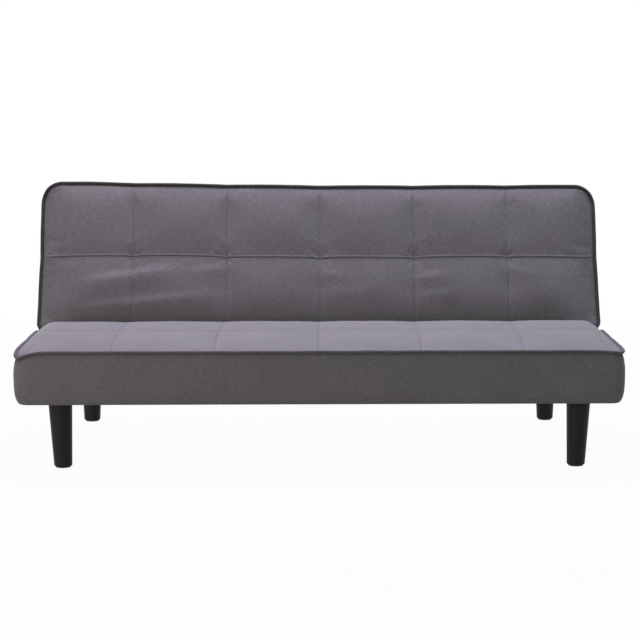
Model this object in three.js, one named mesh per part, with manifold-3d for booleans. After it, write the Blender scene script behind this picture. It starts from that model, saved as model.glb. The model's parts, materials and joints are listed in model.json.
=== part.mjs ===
// Click clack sofa bed: a fixed seat section on four legs, and a backrest that folds
// down flat on a pair of ratchet hinges. Millimetres, +Z up, the front faces -Y, and
// the origin lies on the floor under the middle of the overall outline. Places along
// the depth are counted from the front of the seat until the last lines.

import * as THREE from 'three';
import { mergeVertices } from 'three/addons/utils/BufferGeometryUtils.js';
import Module from 'manifold-3d';

const wasm = await Module();
wasm.setup();

// Overall outline and clearances
const SOFA_WIDTH = 1680;
const TOUCH_GAP = 0.3;
const RUNNING_GAP = 0.6;
const SLOT_GAP = 3;
const CUT_OVERRUN = 2;

// Quilting
const COLUMN_COUNT = 6;
const ROW_COUNT = 2;
const END_COLUMN_SHARE = 0.95;
const PANEL_STEPS = 3;
const STITCH_VALLEY = 12;
const EDGE_RISE = 70;
const TUFT_REACH = 60;
const CORNER_DROOP_REACH = 120;
const COVER_WALL = 3;
const PIPING_RADIUS = 5;
const PIPING_GAP = 0.6;
const PIPING_SIDES = 6;
const EDGE_LINE_SHARES = [0, 0.25, 0.6];
const BULGE_SHARE = 0.55;

// Seat section
const SEAT_DEPTH = 500;
const SEAT_THICKNESS = 146;
const SEAT_CORNER_RADIUS = 30;
const SEAT_LOWER_EDGE = 24;
const SEAT_CROWN = 28;
const SEAT_PUFF = 9;
const SEAT_TUFT = 3;
const SEAT_SCALLOP = 1.5;
const SEAT_CORNER_DROOP = 10;
const SEAT_CORE_CHAMFER = 8;

// Backrest, sized as it lies flat
const BACK_LENGTH = 448;
const BACK_THICKNESS = 118;
const BACK_TOP_CORNER_RADIUS = 58;
const BACK_HINGE_CORNER_RADIUS = 16;
const BACK_LOWER_EDGE = 16;
const BACK_CROWN = 15;
const BACK_PUFF = 13;
const BACK_TUFT = 9;
const BACK_SCALLOP = 2;
const BACK_CORNER_DROOP = 4;
const BACK_CORE_CHAMFER = 32;
const BACK_LEAN = THREE.MathUtils.degToRad(19.5);

// Timber frames, webbing and filling
const SEAT_RAIL_THICKNESS = 22;
const SEAT_RAIL_HEIGHT = 62;
const BACK_RAIL_THICKNESS = 20;
const BACK_RAIL_HEIGHT = 50;
const CENTRE_BAR_WIDTH = 44;
const CENTRE_BAR_HEIGHT = 30;
const SEAT_WEB_COUNT = 4;
const BACK_WEB_COUNT = 3;
const WEB_WIDTH = 60;
const WEB_THICKNESS = 2;
const FELT_THICKNESS = 4;
const DUST_COVER_THICKNESS = 1.4;
const QUILT_THICKNESS = 16;
const CORE_SHOULDER_DROP = 14;
const REAR_PANEL_THICKNESS = 2;

// Steel base
const TUBE_WIDTH = 40;
const TUBE_HEIGHT = 20;
const TUBE_WALL = 2;
const CROSS_TUBE_DEPTH = 20;
const BUMPER_SIZE = 30;
const BUMPER_FRONT_OF_LEG = 45;

// Legs
const LEG_HEIGHT = 192;
const LEG_FOOT_RADIUS = 24.8;
const LEG_TOP_RADIUS = 32;
const LEG_SPLAY = 5.5;
const LEG_FROM_END = 121;
const LEG_FROM_BED_END = 128;
const FRONT_LEG_Y = 115;
const LEG_FOOT_CHAMFER = 2.5;
const LEG_SIDES = 24;
const LEG_PLATE_SIZE = 60;
const LEG_PLATE_THICKNESS = 3;
const STUD_RADIUS = 5;
const STUD_DEPTH = 28;
const GLIDE_RADIUS = 21;
const GLIDE_THICKNESS = 3;

// Ratchet hinges
const BED_GAP = 24;
const PIVOT_AHEAD_OF_BACK = 4;
const PIVOT_DROP = 16;
const PLATE_THICKNESS = 5;
const HUB_RADIUS = 11;
const PIN_RADIUS = 5;
const PIN_HEAD_RADIUS = 8;
const PIN_HEAD_THICKNESS = 3;
const RATCHET_RADIUS = 50;
const NOTCH_DEPTH = 6;
const NOTCH_HALF_ANGLE = THREE.MathUtils.degToRad(8.5);
const RECLINE_STEP = THREE.MathUtils.degToRad(35);
const RATCHET_RUNOUT = THREE.MathUtils.degToRad(15);
const ARM_REACH = 120;
const ARM_EDGE_MARGIN = 3;
const BASE_PLATE_LENGTH = 68;
const PAWL_LENGTH = 34;
const PAWL_EYE_RADIUS = 9;
const PAWL_TOOTH_WIDTH = 6;
const PAWL_TOOTH_HEIGHT = 6;
const PAWL_LIFT_GAP = 1;
const PAWL_PIN_RADIUS = 4;
const PAWL_SPRING_RADIUS = 7;
const ROUND_SIDES = 24;

// Places worked out from the sizes above
const HALF_WIDTH = SOFA_WIDTH / 2;
const SEAT_BOTTOM = LEG_HEIGHT;
const SEAT_TOP = SEAT_BOTTOM + SEAT_THICKNESS;
const SEAM_INSET = 2 * PIPING_RADIUS + PIPING_GAP;
const FRAME_BOTTOM = SEAT_BOTTOM + LEG_PLATE_THICKNESS + 2 * TOUCH_GAP;
const TUBE_TOP = FRAME_BOTTOM + TUBE_HEIGHT;
const SEAT_RAIL_TOP = FRAME_BOTTOM + SEAT_RAIL_HEIGHT;
const SEAT_CAVITY_INSET = SEAT_LOWER_EDGE + COVER_WALL;
const BACK_CAVITY_INSET = BACK_LOWER_EDGE + COVER_WALL;
const BACK_START = SEAT_DEPTH + BED_GAP;
const BACK_END = BACK_START + BACK_LENGTH;
const BACK_BOTTOM = SEAT_TOP - BACK_THICKNESS;
const BACK_RAIL_BOTTOM = BACK_BOTTOM + REAR_PANEL_THICKNESS + 2 * TOUCH_GAP;
const BACK_RAIL_TOP = BACK_RAIL_BOTTOM + BACK_RAIL_HEIGHT;
const PIVOT_Y = BACK_START - PIVOT_AHEAD_OF_BACK;
const PIVOT_Z = SEAT_TOP - PIVOT_DROP;
const FOLD_ANGLE = Math.PI / 2 - BACK_LEAN;
const LEG_X = HALF_WIDTH - LEG_FROM_END;
const REAR_LEG_Y = BACK_END - LEG_FROM_BED_END;
const REAR_LEG_TOP_Y = REAR_LEG_Y + LEG_SPLAY;
const OVERALL_DEPTH = REAR_LEG_TOP_Y + LEG_TOP_RADIUS;
const TUBE_X = LEG_X + LEG_SPLAY / 2;
const BASE_PLATE_OUTER_X = HALF_WIDTH - SEAT_CAVITY_INSET - SEAT_RAIL_THICKNESS - 2 * TOUCH_GAP;
const BASE_PLATE_INNER_X = BASE_PLATE_OUTER_X - PLATE_THICKNESS;
const ARM_INNER_X = BASE_PLATE_OUTER_X + RUNNING_GAP;
const ARM_OUTER_X = ARM_INNER_X + PLATE_THICKNESS;
const SLOT_INNER_X = BASE_PLATE_INNER_X - PIN_HEAD_THICKNESS - SLOT_GAP;
const SLOT_OUTER_X = ARM_OUTER_X + PIN_HEAD_THICKNESS + SLOT_GAP;
const PAWL_TIP_Y = PIVOT_Y;
const PAWL_TIP_Z = PIVOT_Z - RATCHET_RADIUS - PAWL_LIFT_GAP;
const PAWL_PIVOT_Y = PAWL_TIP_Y - PAWL_LENGTH;
const PAWL_PIVOT_Z = PAWL_TIP_Z - PAWL_TOOTH_HEIGHT;

// Materials
const finish = (color, roughness, metalness = 0) =>
  new THREE.MeshStandardMaterial({ color, roughness, metalness });
const FABRIC = [0x6f6c72, 0.95];
const PIPING_CORD = [0x3a3a3e, 0.9];
const TIMBER = [0xc7a878, 0.8];
const WEBBING = [0x2c2c2e, 0.9];
const FELT = [0xb9b6ae, 1];
const FOAM = [0xe6dcb4, 1];
const LINING = [0x1c1c1e, 0.95];
const STEEL = [0x202226, 0.45, 0.7];
const ZINC = [0x9a9ca0, 0.35, 0.9];
const PLASTIC = [0x17181a, 0.4];
const RUBBER = [0x101010, 0.8];

const sofa = new THREE.Group();
const backrest = new THREE.Group();
sofa.add(backrest);

function addPiece(parent, name, geometry, look) {
  const mesh = new THREE.Mesh(geometry, finish(...look));
  mesh.name = name;
  parent.add(mesh);
}

// Solids: conversion to and from the boolean kernel
function toSolid(geometry) {
  const bare = geometry.clone();
  bare.deleteAttribute('normal');
  bare.deleteAttribute('uv');
  const merged = mergeVertices(bare);
  const vertProperties = new Float32Array(merged.attributes.position.array);
  const triVerts = new Uint32Array(merged.index.array);
  return new wasm.Manifold(new wasm.Mesh({ numProp: 3, vertProperties, triVerts }));
}

function toGeometry(solid) {
  const { vertProperties, triVerts } = solid.getMesh();
  return indexedGeometry(vertProperties, triVerts);
}

function indexedGeometry(positions, triangles) {
  const geometry = new THREE.BufferGeometry();
  geometry.setAttribute('position', new THREE.BufferAttribute(new Float32Array(positions), 3));
  geometry.setIndex(new THREE.BufferAttribute(new Uint32Array(triangles), 1));
  geometry.computeVertexNormals();
  return geometry;
}

function cut(geometry, cutters) {
  const remains = cutters.reduce((solid, cutter) => solid.subtract(toSolid(cutter)), toSolid(geometry));
  return toGeometry(remains);
}

function trimTo(geometry, limit) {
  return toGeometry(toSolid(geometry).intersect(toSolid(limit)));
}

// Simple shapes. A block is given by its low and high limits on each axis.
function block([x0, x1], [y0, y1], [z0, z1]) {
  const geometry = new THREE.BoxGeometry(x1 - x0, y1 - y0, z1 - z0);
  return geometry.translate((x0 + x1) / 2, (y0 + y1) / 2, (z0 + z1) / 2);
}

const sideRange = (side, inner, outer) => (side > 0 ? [inner, outer] : [-outer, -inner]);

// A profile drawn in depth and height, carried across the width
function prism(shape, [x0, x1]) {
  const geometry = new THREE.ExtrudeGeometry(shape, {
    depth: x1 - x0,
    bevelEnabled: false,
    curveSegments: ROUND_SIDES / 2,
  });
  const turn = new THREE.Matrix4().makeBasis(
    new THREE.Vector3(0, 1, 0),
    new THREE.Vector3(0, 0, 1),
    new THREE.Vector3(1, 0, 0),
  );
  return geometry.applyMatrix4(turn).translate(x0, 0, 0);
}

// Rings of equal count, from low to high, joined by walls and closed by flat caps
function loft(rings) {
  const count = rings[0].length;
  const positions = rings.flat(2);
  const triangles = [];
  rings.slice(1).forEach((ring, level) => {
    for (let i = 0; i < count; i++) {
      const a = level * count + i;
      const b = level * count + ((i + 1) % count);
      triangles.push(a, b, b + count, a, b + count, a + count);
    }
  });
  const top = (rings.length - 1) * count;
  for (let i = 1; i < count - 1; i++) {
    triangles.push(0, i + 1, i, top, top + i, top + i + 1);
  }
  return indexedGeometry(positions, triangles);
}

function circleRing(x, y, z, radius, sides) {
  return Array.from({ length: sides }, (_, i) => {
    const angle = (2 * Math.PI * i) / sides;
    return [x + radius * Math.cos(angle), y + radius * Math.sin(angle), z];
  });
}

function post(x, y, z0, z1, radius) {
  return loft([z0, z1].map((z) => circleRing(x, y, z, radius, ROUND_SIDES)));
}

// A round bar across the width, from a lathe profile of [radius, distance] pairs
function turned(profile, x0, side, y, z) {
  const points = profile.map(([radius, along]) => new THREE.Vector2(radius, along));
  const geometry = new THREE.LatheGeometry(points, ROUND_SIDES);
  geometry.rotateZ(-Math.PI / 2);
  geometry.translate(x0, y, z);
  return side > 0 ? geometry : geometry.rotateZ(Math.PI).translate(0, 2 * y, 0);
}

// Quilted cushions
// The places of the edges and the stitched seams along one direction. The two end panels
// are each a share of an inner one.
function seamPlaces(start, end, panels, endShare) {
  const pitch = (end - start) / (panels - 2 + 2 * endShare);
  const places = [start];
  for (let seam = 1; seam < panels; seam++) places.push(start + pitch * (seam - 1 + endShare));
  return [...places, end];
}

function gridLines(seams, band) {
  const lines = [];
  for (let panel = 0; panel < seams.length - 1; panel++) {
    const low = seams[panel];
    const high = seams[panel + 1];
    const first = panel === 0;
    const last = panel === seams.length - 2;
    const from = low + (first ? band : STITCH_VALLEY);
    const to = high - (last ? band : STITCH_VALLEY);
    lines.push(...(first ? EDGE_LINE_SHARES.map((share) => low + band * share) : [low]));
    for (let step = 0; step <= PANEL_STEPS; step++) {
      lines.push(from + ((to - from) * step) / PANEL_STEPS);
    }
    if (last) lines.push(...EDGE_LINE_SHARES.toReversed().map((share) => high - band * share));
  }
  return lines;
}

function seamDistance(value, seams) {
  return Math.min(...seams.slice(1, -1).map((seam) => Math.abs(value - seam)));
}

// One where a stitched seam lies and nought in the middle of the narrowest panel
function seamPull(value, seams) {
  return Math.max(0, 1 - seamDistance(value, seams) / ((seams[1] - seams[0]) / 2)) ** 2;
}

function panelBump(value, seams) {
  const next = Math.max(seams.findIndex((seam) => seam >= value), 1);
  const share = (value - seams[next - 1]) / (seams[next] - seams[next - 1]);
  return Math.abs(Math.sin(Math.PI * share)) ** BULGE_SHARE;
}

const edgeRise = (distance) => 1 - (1 - Math.min(distance / EDGE_RISE, 1)) ** 2;
const nearness = (distance, reach) => Math.max(0, 1 - distance / reach) ** 2;

// The height of the quilted top over its piping seam, and of the seam over its own level
function quiltHeight(spec, x, y) {
  const { halfX, y0, y1 } = spec;
  const dx = Math.min(x + halfX, halfX - x);
  const dy = Math.min(y - y0, y1 - y);
  const bump = panelBump(x, spec.columns) * panelBump(y, spec.rows);
  const tuftDistance = Math.hypot(seamDistance(x, spec.columns), seamDistance(y, spec.rows));
  const droop = nearness(dx, CORNER_DROOP_REACH) * nearness(dy, CORNER_DROOP_REACH);
  return (
    spec.crown * edgeRise(dx) * edgeRise(dy) +
    spec.puff * bump -
    spec.tuft * nearness(tuftDistance, TUFT_REACH) -
    spec.droop * droop
  );
}

// The seam outline: a rectangle with round corners, pulled in where the stitching ends.
// Gives the place on the plan and the direction that faces out there.
function planPoint(spec, x, y) {
  const { halfX, y0, y1 } = spec;
  const middle = (y0 + y1) / 2;
  const radius = y < middle ? spec.nearRadius : spec.farRadius;
  const sx = Math.sign(x);
  const sy = y < middle ? -1 : 1;
  const a = (Math.abs(x) - halfX + radius) / radius;
  const b = (Math.abs(y - middle) - (y1 - y0) / 2 + radius) / radius;
  const onSide = halfX - Math.abs(x) < (y1 - y0) / 2 - Math.abs(y - middle);
  if (a <= 0 || b <= 0) {
    const pull = onSide ? seamPull(y, spec.rows) : seamPull(x, spec.columns);
    return { x, y, out: onSide ? [sx, 0] : [0, sy], pull };
  }
  const roundA = a * Math.sqrt(1 - (b * b) / 2);
  const roundB = b * Math.sqrt(1 - (a * a) / 2);
  const length = Math.hypot(roundA, roundB);
  return {
    x: sx * (halfX - radius + radius * roundA),
    y: middle + sy * ((y1 - y0) / 2 - radius + radius * roundB),
    out: [(sx * roundA) / length, (sy * roundB) / length],
    pull: 0,
  };
}

// How far down the boxed side each ring lies, how far it has swelled out to the full
// outline, and how far it has turned in round the lower edge
const BOXING_SHARES = [
  { down: 0.26, swell: 0.94, tuck: 0 },
  { down: BULGE_SHARE, swell: 1, tuck: 0 },
  { down: 0.8, swell: 1, tuck: 0.12 },
  { down: 0.93, swell: 1, tuck: 0.45 },
  { down: 1, swell: 1, tuck: 1 },
];

function boundaryLoop(xs, ys) {
  const lastX = xs.length - 1;
  const lastY = ys.length - 1;
  const loop = [];
  for (let i = 0; i < lastX; i++) loop.push([i, 0]);
  for (let j = 0; j < lastY; j++) loop.push([lastX, j]);
  for (let i = lastX; i > 0; i--) loop.push([i, lastY]);
  for (let j = lastY; j > 0; j--) loop.push([0, j]);
  return loop;
}

function cushionGrid(spec) {
  const band = Math.max(spec.nearRadius, spec.farRadius);
  const xs = gridLines(spec.columns, band);
  const ys = gridLines(spec.rows, band);
  return { xs, ys, loop: boundaryLoop(xs, ys) };
}

function cushionSolid(spec) {
  const { xs, ys, loop } = cushionGrid(spec);
  const positions = [];
  const triangles = [];
  for (const y of ys) {
    for (const x of xs) {
      const plan = planPoint(spec, x, y);
      const onEdge = x === xs[0] || x === xs.at(-1) || y === ys[0] || y === ys.at(-1);
      const inward = onEdge ? spec.scallop * plan.pull : 0;
      const height = spec.seamZ + quiltHeight(spec, x, y);
      positions.push(plan.x - inward * plan.out[0], plan.y - inward * plan.out[1], height);
    }
  }
  const at = ([i, j]) => j * xs.length + i;
  for (let j = 0; j < ys.length - 1; j++) {
    for (let i = 0; i < xs.length - 1; i++) {
      const [a, b, c, d] = [at([i, j]), at([i + 1, j]), at([i + 1, j + 1]), at([i, j + 1])];
      triangles.push(a, b, c, a, c, d);
    }
  }
  let above = loop.map(at);
  BOXING_SHARES.forEach(({ down, swell, tuck }) => {
    const ring = loop.map(([i, j]) => {
      const plan = planPoint(spec, xs[i], ys[j]);
      const pull = spec.scallop * plan.pull * (1 - down);
      const out = SEAM_INSET * swell - spec.lowerEdge * tuck - pull;
      const droop = quiltHeight(spec, xs[i], ys[j]) * (1 - down);
      positions.push(plan.x + out * plan.out[0], plan.y + out * plan.out[1]);
      positions.push(spec.seamZ - spec.thickness * down + droop);
      return positions.length / 3 - 1;
    });
    ring.forEach((low, k) => {
      const next = (k + 1) % ring.length;
      triangles.push(low, ring[next], above[next], low, above[next], above[k]);
    });
    above = ring;
  });
  positions.push(0, (spec.y0 + spec.y1) / 2, spec.seamZ - spec.thickness);
  const centre = positions.length / 3 - 1;
  above.forEach((low, k) => triangles.push(centre, above[(k + 1) % above.length], low));
  return indexedGeometry(positions, triangles);
}

// The piping: a round cord that runs in the groove of the seam, all the way round
function pipingLoop(spec) {
  const { xs, ys, loop } = cushionGrid(spec);
  const outward = PIPING_RADIUS + PIPING_GAP;
  const positions = [];
  const triangles = [];
  loop.forEach(([i, j], k) => {
    const plan = planPoint(spec, xs[i], ys[j]);
    const reach = outward - spec.scallop * plan.pull;
    const height = spec.seamZ + quiltHeight(spec, xs[i], ys[j]);
    for (let s = 0; s < PIPING_SIDES; s++) {
      const angle = (2 * Math.PI * s) / PIPING_SIDES;
      const away = reach + PIPING_RADIUS * Math.cos(angle);
      positions.push(plan.x + away * plan.out[0], plan.y + away * plan.out[1]);
      positions.push(height + PIPING_RADIUS * Math.sin(angle));
      const a = k * PIPING_SIDES + s;
      const b = k * PIPING_SIDES + ((s + 1) % PIPING_SIDES);
      const step = ((k + 1) % loop.length) * PIPING_SIDES - k * PIPING_SIDES;
      triangles.push(a, a + step, b + step, a, b + step, b);
    }
  });
  return indexedGeometry(positions, triangles);
}

// The filling's space inside a cushion: straight sides, a shoulder and a lower crown
function coreSolid(spec, shrink, bottom, top = spec.coreTop) {
  const ring = (inset, z) => {
    const x = spec.halfX + SEAM_INSET - inset;
    const y0 = spec.y0 - SEAM_INSET + inset;
    const y1 = spec.y1 + SEAM_INSET - inset;
    const c = spec.coreChamfer;
    return [
      [-x + c, y0, z], [x - c, y0, z], [x, y0 + c, z], [x, y1 - c, z],
      [x - c, y1, z], [-x + c, y1, z], [-x, y1 - c, z], [-x, y0 + c, z],
    ];
  };
  const inset = spec.cavityInset + shrink;
  const shoulder = spec.seamZ - CORE_SHOULDER_DROP - shrink;
  if (top <= shoulder) return loft([ring(inset, bottom), ring(inset, top)]);
  return loft([ring(inset, bottom), ring(inset, shoulder), ring(inset + EDGE_RISE, top - shrink)]);
}

// Every panel of a row or a column is as long as the next where the share is one
const seamGrid = (halfX, y0, y1) => ({
  columns: seamPlaces(-halfX, halfX, COLUMN_COUNT, END_COLUMN_SHARE),
  rows: seamPlaces(y0, y1, ROW_COUNT, 1),
});

const seatSpec = {
  ...seamGrid(HALF_WIDTH - SEAM_INSET, SEAM_INSET, SEAT_DEPTH - SEAM_INSET),
  halfX: HALF_WIDTH - SEAM_INSET,
  y0: SEAM_INSET,
  y1: SEAT_DEPTH - SEAM_INSET,
  nearRadius: SEAT_CORNER_RADIUS,
  farRadius: SEAT_CORNER_RADIUS,
  seamZ: SEAT_TOP,
  thickness: SEAT_THICKNESS,
  lowerEdge: SEAT_LOWER_EDGE,
  crown: SEAT_CROWN,
  puff: SEAT_PUFF,
  tuft: SEAT_TUFT,
  scallop: SEAT_SCALLOP,
  droop: SEAT_CORNER_DROOP,
  cavityInset: SEAT_CAVITY_INSET,
  coreChamfer: SEAT_CORE_CHAMFER,
  coreTop: SEAT_TOP + SEAT_CROWN - QUILT_THICKNESS,
};

const backSpec = {
  ...seamGrid(HALF_WIDTH - SEAM_INSET, BACK_START + SEAM_INSET, BACK_END - SEAM_INSET),
  halfX: HALF_WIDTH - SEAM_INSET,
  y0: BACK_START + SEAM_INSET,
  y1: BACK_END - SEAM_INSET,
  nearRadius: BACK_HINGE_CORNER_RADIUS,
  farRadius: BACK_TOP_CORNER_RADIUS,
  seamZ: SEAT_TOP,
  thickness: BACK_THICKNESS,
  lowerEdge: BACK_LOWER_EDGE,
  crown: BACK_CROWN,
  puff: BACK_PUFF,
  tuft: BACK_TUFT,
  scallop: BACK_SCALLOP,
  droop: BACK_CORNER_DROOP,
  cavityInset: BACK_CAVITY_INSET,
  coreChamfer: BACK_CORE_CHAMFER,
  coreTop: SEAT_TOP + BACK_CROWN - QUILT_THICKNESS,
};

// Cutters that let the hinges and the base through the covers and the fillings
function hingeSlots([y0, y1], [z0, z1]) {
  return [-1, 1].map((side) => block(sideRange(side, SLOT_INNER_X, SLOT_OUTER_X), [y0, y1], [z0, z1]));
}

function tubeSlots(y0, y1) {
  return [-1, 1].map((side) => {
    const inner = TUBE_X - TUBE_WIDTH / 2 - TOUCH_GAP;
    const outer = TUBE_X + TUBE_WIDTH / 2 + TOUCH_GAP;
    return block(sideRange(side, inner, outer), [y0, y1], [SEAT_BOTTOM - CUT_OVERRUN, TUBE_TOP + TOUCH_GAP]);
  });
}

function timberFrame(parent, prefix, spec, railThickness, sideRailThickness, z, farRail = z) {
  const inset = spec.cavityInset + TOUCH_GAP;
  const x = HALF_WIDTH - inset;
  const y0 = spec.y0 - SEAM_INSET + inset;
  const y1 = spec.y1 + SEAM_INSET - inset;
  const limit = coreSolid(spec, TOUCH_GAP, z[0] - CUT_OVERRUN, z[1] + CUT_OVERRUN);
  const rail = (name, xs, ys, zs) => {
    addPiece(parent, `${prefix}_${name}`, trimTo(block(xs, ys, zs), limit), TIMBER);
  };
  rail('front_rail', [-x, x], [y0, y0 + railThickness], z);
  rail('rear_rail', [-x, x], [y1 - railThickness, y1], farRail);
  const between = [y0 + railThickness + TOUCH_GAP, y1 - railThickness - TOUCH_GAP];
  rail('left_rail', [-x, -x + sideRailThickness], between, z);
  rail('right_rail', [x - sideRailThickness, x], between, z);
  const barZ = [z[1] - CENTRE_BAR_HEIGHT, z[1]];
  rail('centre_bar', [-CENTRE_BAR_WIDTH / 2, CENTRE_BAR_WIDTH / 2], between, barZ);
  return { x, y0, y1 };
}

function fillings(parent, prefix, spec, frameSize, z, webCount, notches) {
  const { x, y0, y1 } = frameSize;
  const pitch = (2 * x) / (webCount + 1);
  const webZ = [z + TOUCH_GAP, z + TOUCH_GAP + WEB_THICKNESS];
  for (let i = 0; i < webCount; i++) {
    const middle = -x + pitch * (i + 1);
    const across = [middle - WEB_WIDTH / 2, middle + WEB_WIDTH / 2];
    addPiece(parent, `${prefix}_web_${i + 1}`, block(across, [y0, y1], webZ), WEBBING);
  }
  const feltBottom = webZ[1] + TOUCH_GAP;
  const feltTop = feltBottom + FELT_THICKNESS;
  const felt = coreSolid(spec, TOUCH_GAP, feltBottom, feltTop);
  addPiece(parent, `${prefix}_felt`, cut(felt, notches), FELT);
  const foam = coreSolid(spec, TOUCH_GAP, feltTop + TOUCH_GAP);
  addPiece(parent, `${prefix}_foam`, cut(foam, notches), FOAM);
}

// Seat section
function buildSeat() {
  const rear = SEAT_DEPTH - SEAT_CAVITY_INSET;
  const cavity = coreSolid(seatSpec, 0, SEAT_BOTTOM - CUT_OVERRUN);
  const slotZ = [SEAT_BOTTOM - CUT_OVERRUN, PIVOT_Z + HUB_RADIUS + RUNNING_GAP];
  const slots = hingeSlots([rear - CUT_OVERRUN, SEAT_DEPTH + CUT_OVERRUN], slotZ);
  const passages = tubeSlots(rear - CUT_OVERRUN, SEAT_DEPTH + CUT_OVERRUN);
  const cover = cut(cushionSolid(seatSpec), [cavity, ...slots, ...passages]);
  addPiece(sofa, 'seat_cover', cover, FABRIC);
  addPiece(sofa, 'seat_piping', pipingLoop(seatSpec), PIPING_CORD);

  const railZ = [FRAME_BOTTOM, SEAT_RAIL_TOP];
  const rearRailZ = [TUBE_TOP + TOUCH_GAP, SEAT_RAIL_TOP];
  const frameSize = timberFrame(
    sofa, 'seat', seatSpec, SEAT_RAIL_THICKNESS, SEAT_RAIL_THICKNESS, railZ, rearRailZ,
  );
  const notchFront = rear - SEAT_RAIL_THICKNESS - BASE_PLATE_LENGTH;
  const notches = hingeSlots([notchFront, SEAT_DEPTH], [SEAT_RAIL_TOP, SEAT_TOP + SEAT_CROWN]);
  fillings(sofa, 'seat', seatSpec, frameSize, SEAT_RAIL_TOP, SEAT_WEB_COUNT, notches);

  const liningTop = FRAME_BOTTOM - TOUCH_GAP;
  const plateCuts = [-1, 1].map((side) => {
    const half = LEG_PLATE_SIZE / 2 + TOUCH_GAP;
    const middle = LEG_X + LEG_SPLAY;
    return block(
      sideRange(side, middle - half, middle + half),
      [FRONT_LEG_Y - half, FRONT_LEG_Y + half],
      [SEAT_BOTTOM - CUT_OVERRUN, FRAME_BOTTOM],
    );
  });
  const lining = coreSolid(seatSpec, TOUCH_GAP, liningTop - DUST_COVER_THICKNESS, liningTop);
  addPiece(sofa, 'seat_dust_cover', cut(lining, plateCuts), LINING);
}

// Backrest, laid out flat and turned up about the hinge pins
function buildBackrest() {
  const near = BACK_START + BACK_CAVITY_INSET;
  const cavity = coreSolid(backSpec, 0, BACK_BOTTOM - CUT_OVERRUN);
  const slotZ = [BACK_BOTTOM - CUT_OVERRUN, PIVOT_Z + HUB_RADIUS + RUNNING_GAP];
  const slots = hingeSlots([BACK_START - CUT_OVERRUN, near + BACK_CORE_CHAMFER], slotZ);
  addPiece(backrest, 'back_cover', cut(cushionSolid(backSpec), [cavity, ...slots]), FABRIC);
  addPiece(backrest, 'back_piping', pipingLoop(backSpec), PIPING_CORD);

  const sideRailThickness = HALF_WIDTH - BACK_CAVITY_INSET - ARM_OUTER_X - 2 * TOUCH_GAP;
  const railZ = [BACK_RAIL_BOTTOM, BACK_RAIL_TOP];
  const frameSize = timberFrame(
    backrest, 'back', backSpec, BACK_RAIL_THICKNESS, sideRailThickness, railZ,
  );
  const notches = hingeSlots([BACK_START, near + ARM_REACH], [BACK_RAIL_TOP, PIVOT_Z + HUB_RADIUS]);
  fillings(backrest, 'back', backSpec, frameSize, BACK_RAIL_TOP, BACK_WEB_COUNT, notches);
  const panelBottom = BACK_BOTTOM + TOUCH_GAP;
  const panel = coreSolid(backSpec, TOUCH_GAP, panelBottom, panelBottom + REAR_PANEL_THICKNESS);
  addPiece(backrest, 'back_rear_panel', panel, LINING);
}

// Steel base: two long tubes that carry the seat and run back to the rear legs
function buildBase() {
  const front = SEAT_CAVITY_INSET + SEAT_RAIL_THICKNESS + 2 * TOUCH_GAP;
  const rear = REAR_LEG_TOP_Y + LEG_PLATE_SIZE / 2;
  const z = [FRAME_BOTTOM, TUBE_TOP];
  const boreZ = [z[0] + TUBE_WALL, z[1] - TUBE_WALL];
  const overrun = [front - CUT_OVERRUN, rear + CUT_OVERRUN];
  [['left', -1], ['right', 1]].forEach(([name, side]) => {
    const outer = sideRange(side, TUBE_X - TUBE_WIDTH / 2, TUBE_X + TUBE_WIDTH / 2);
    const bore = [outer[0] + TUBE_WALL, outer[1] - TUBE_WALL];
    const tube = cut(block(outer, [front, rear], z), [block(bore, overrun, boreZ)]);
    addPiece(sofa, `base_tube_${name}`, tube, STEEL);
    const bumperY = REAR_LEG_Y - BUMPER_FRONT_OF_LEG;
    const bumper = block(
      sideRange(side, TUBE_X - BUMPER_SIZE / 2, TUBE_X + BUMPER_SIZE / 2),
      [bumperY - BUMPER_SIZE / 2, bumperY + BUMPER_SIZE / 2],
      [TUBE_TOP + TOUCH_GAP, BACK_BOTTOM - TOUCH_GAP],
    );
    addPiece(sofa, `bumper_${name}`, bumper, RUBBER);
  });
  const x = TUBE_X - TUBE_WIDTH / 2 - TOUCH_GAP;
  const y = [REAR_LEG_TOP_Y - CROSS_TUBE_DEPTH / 2, REAR_LEG_TOP_Y + CROSS_TUBE_DEPTH / 2];
  const boreY = [y[0] + TUBE_WALL, y[1] - TUBE_WALL];
  const bore = block([-x - CUT_OVERRUN, x + CUT_OVERRUN], boreY, boreZ);
  addPiece(sofa, 'base_cross_tube', cut(block([-x, x], y, z), [bore]), STEEL);
}

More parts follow.
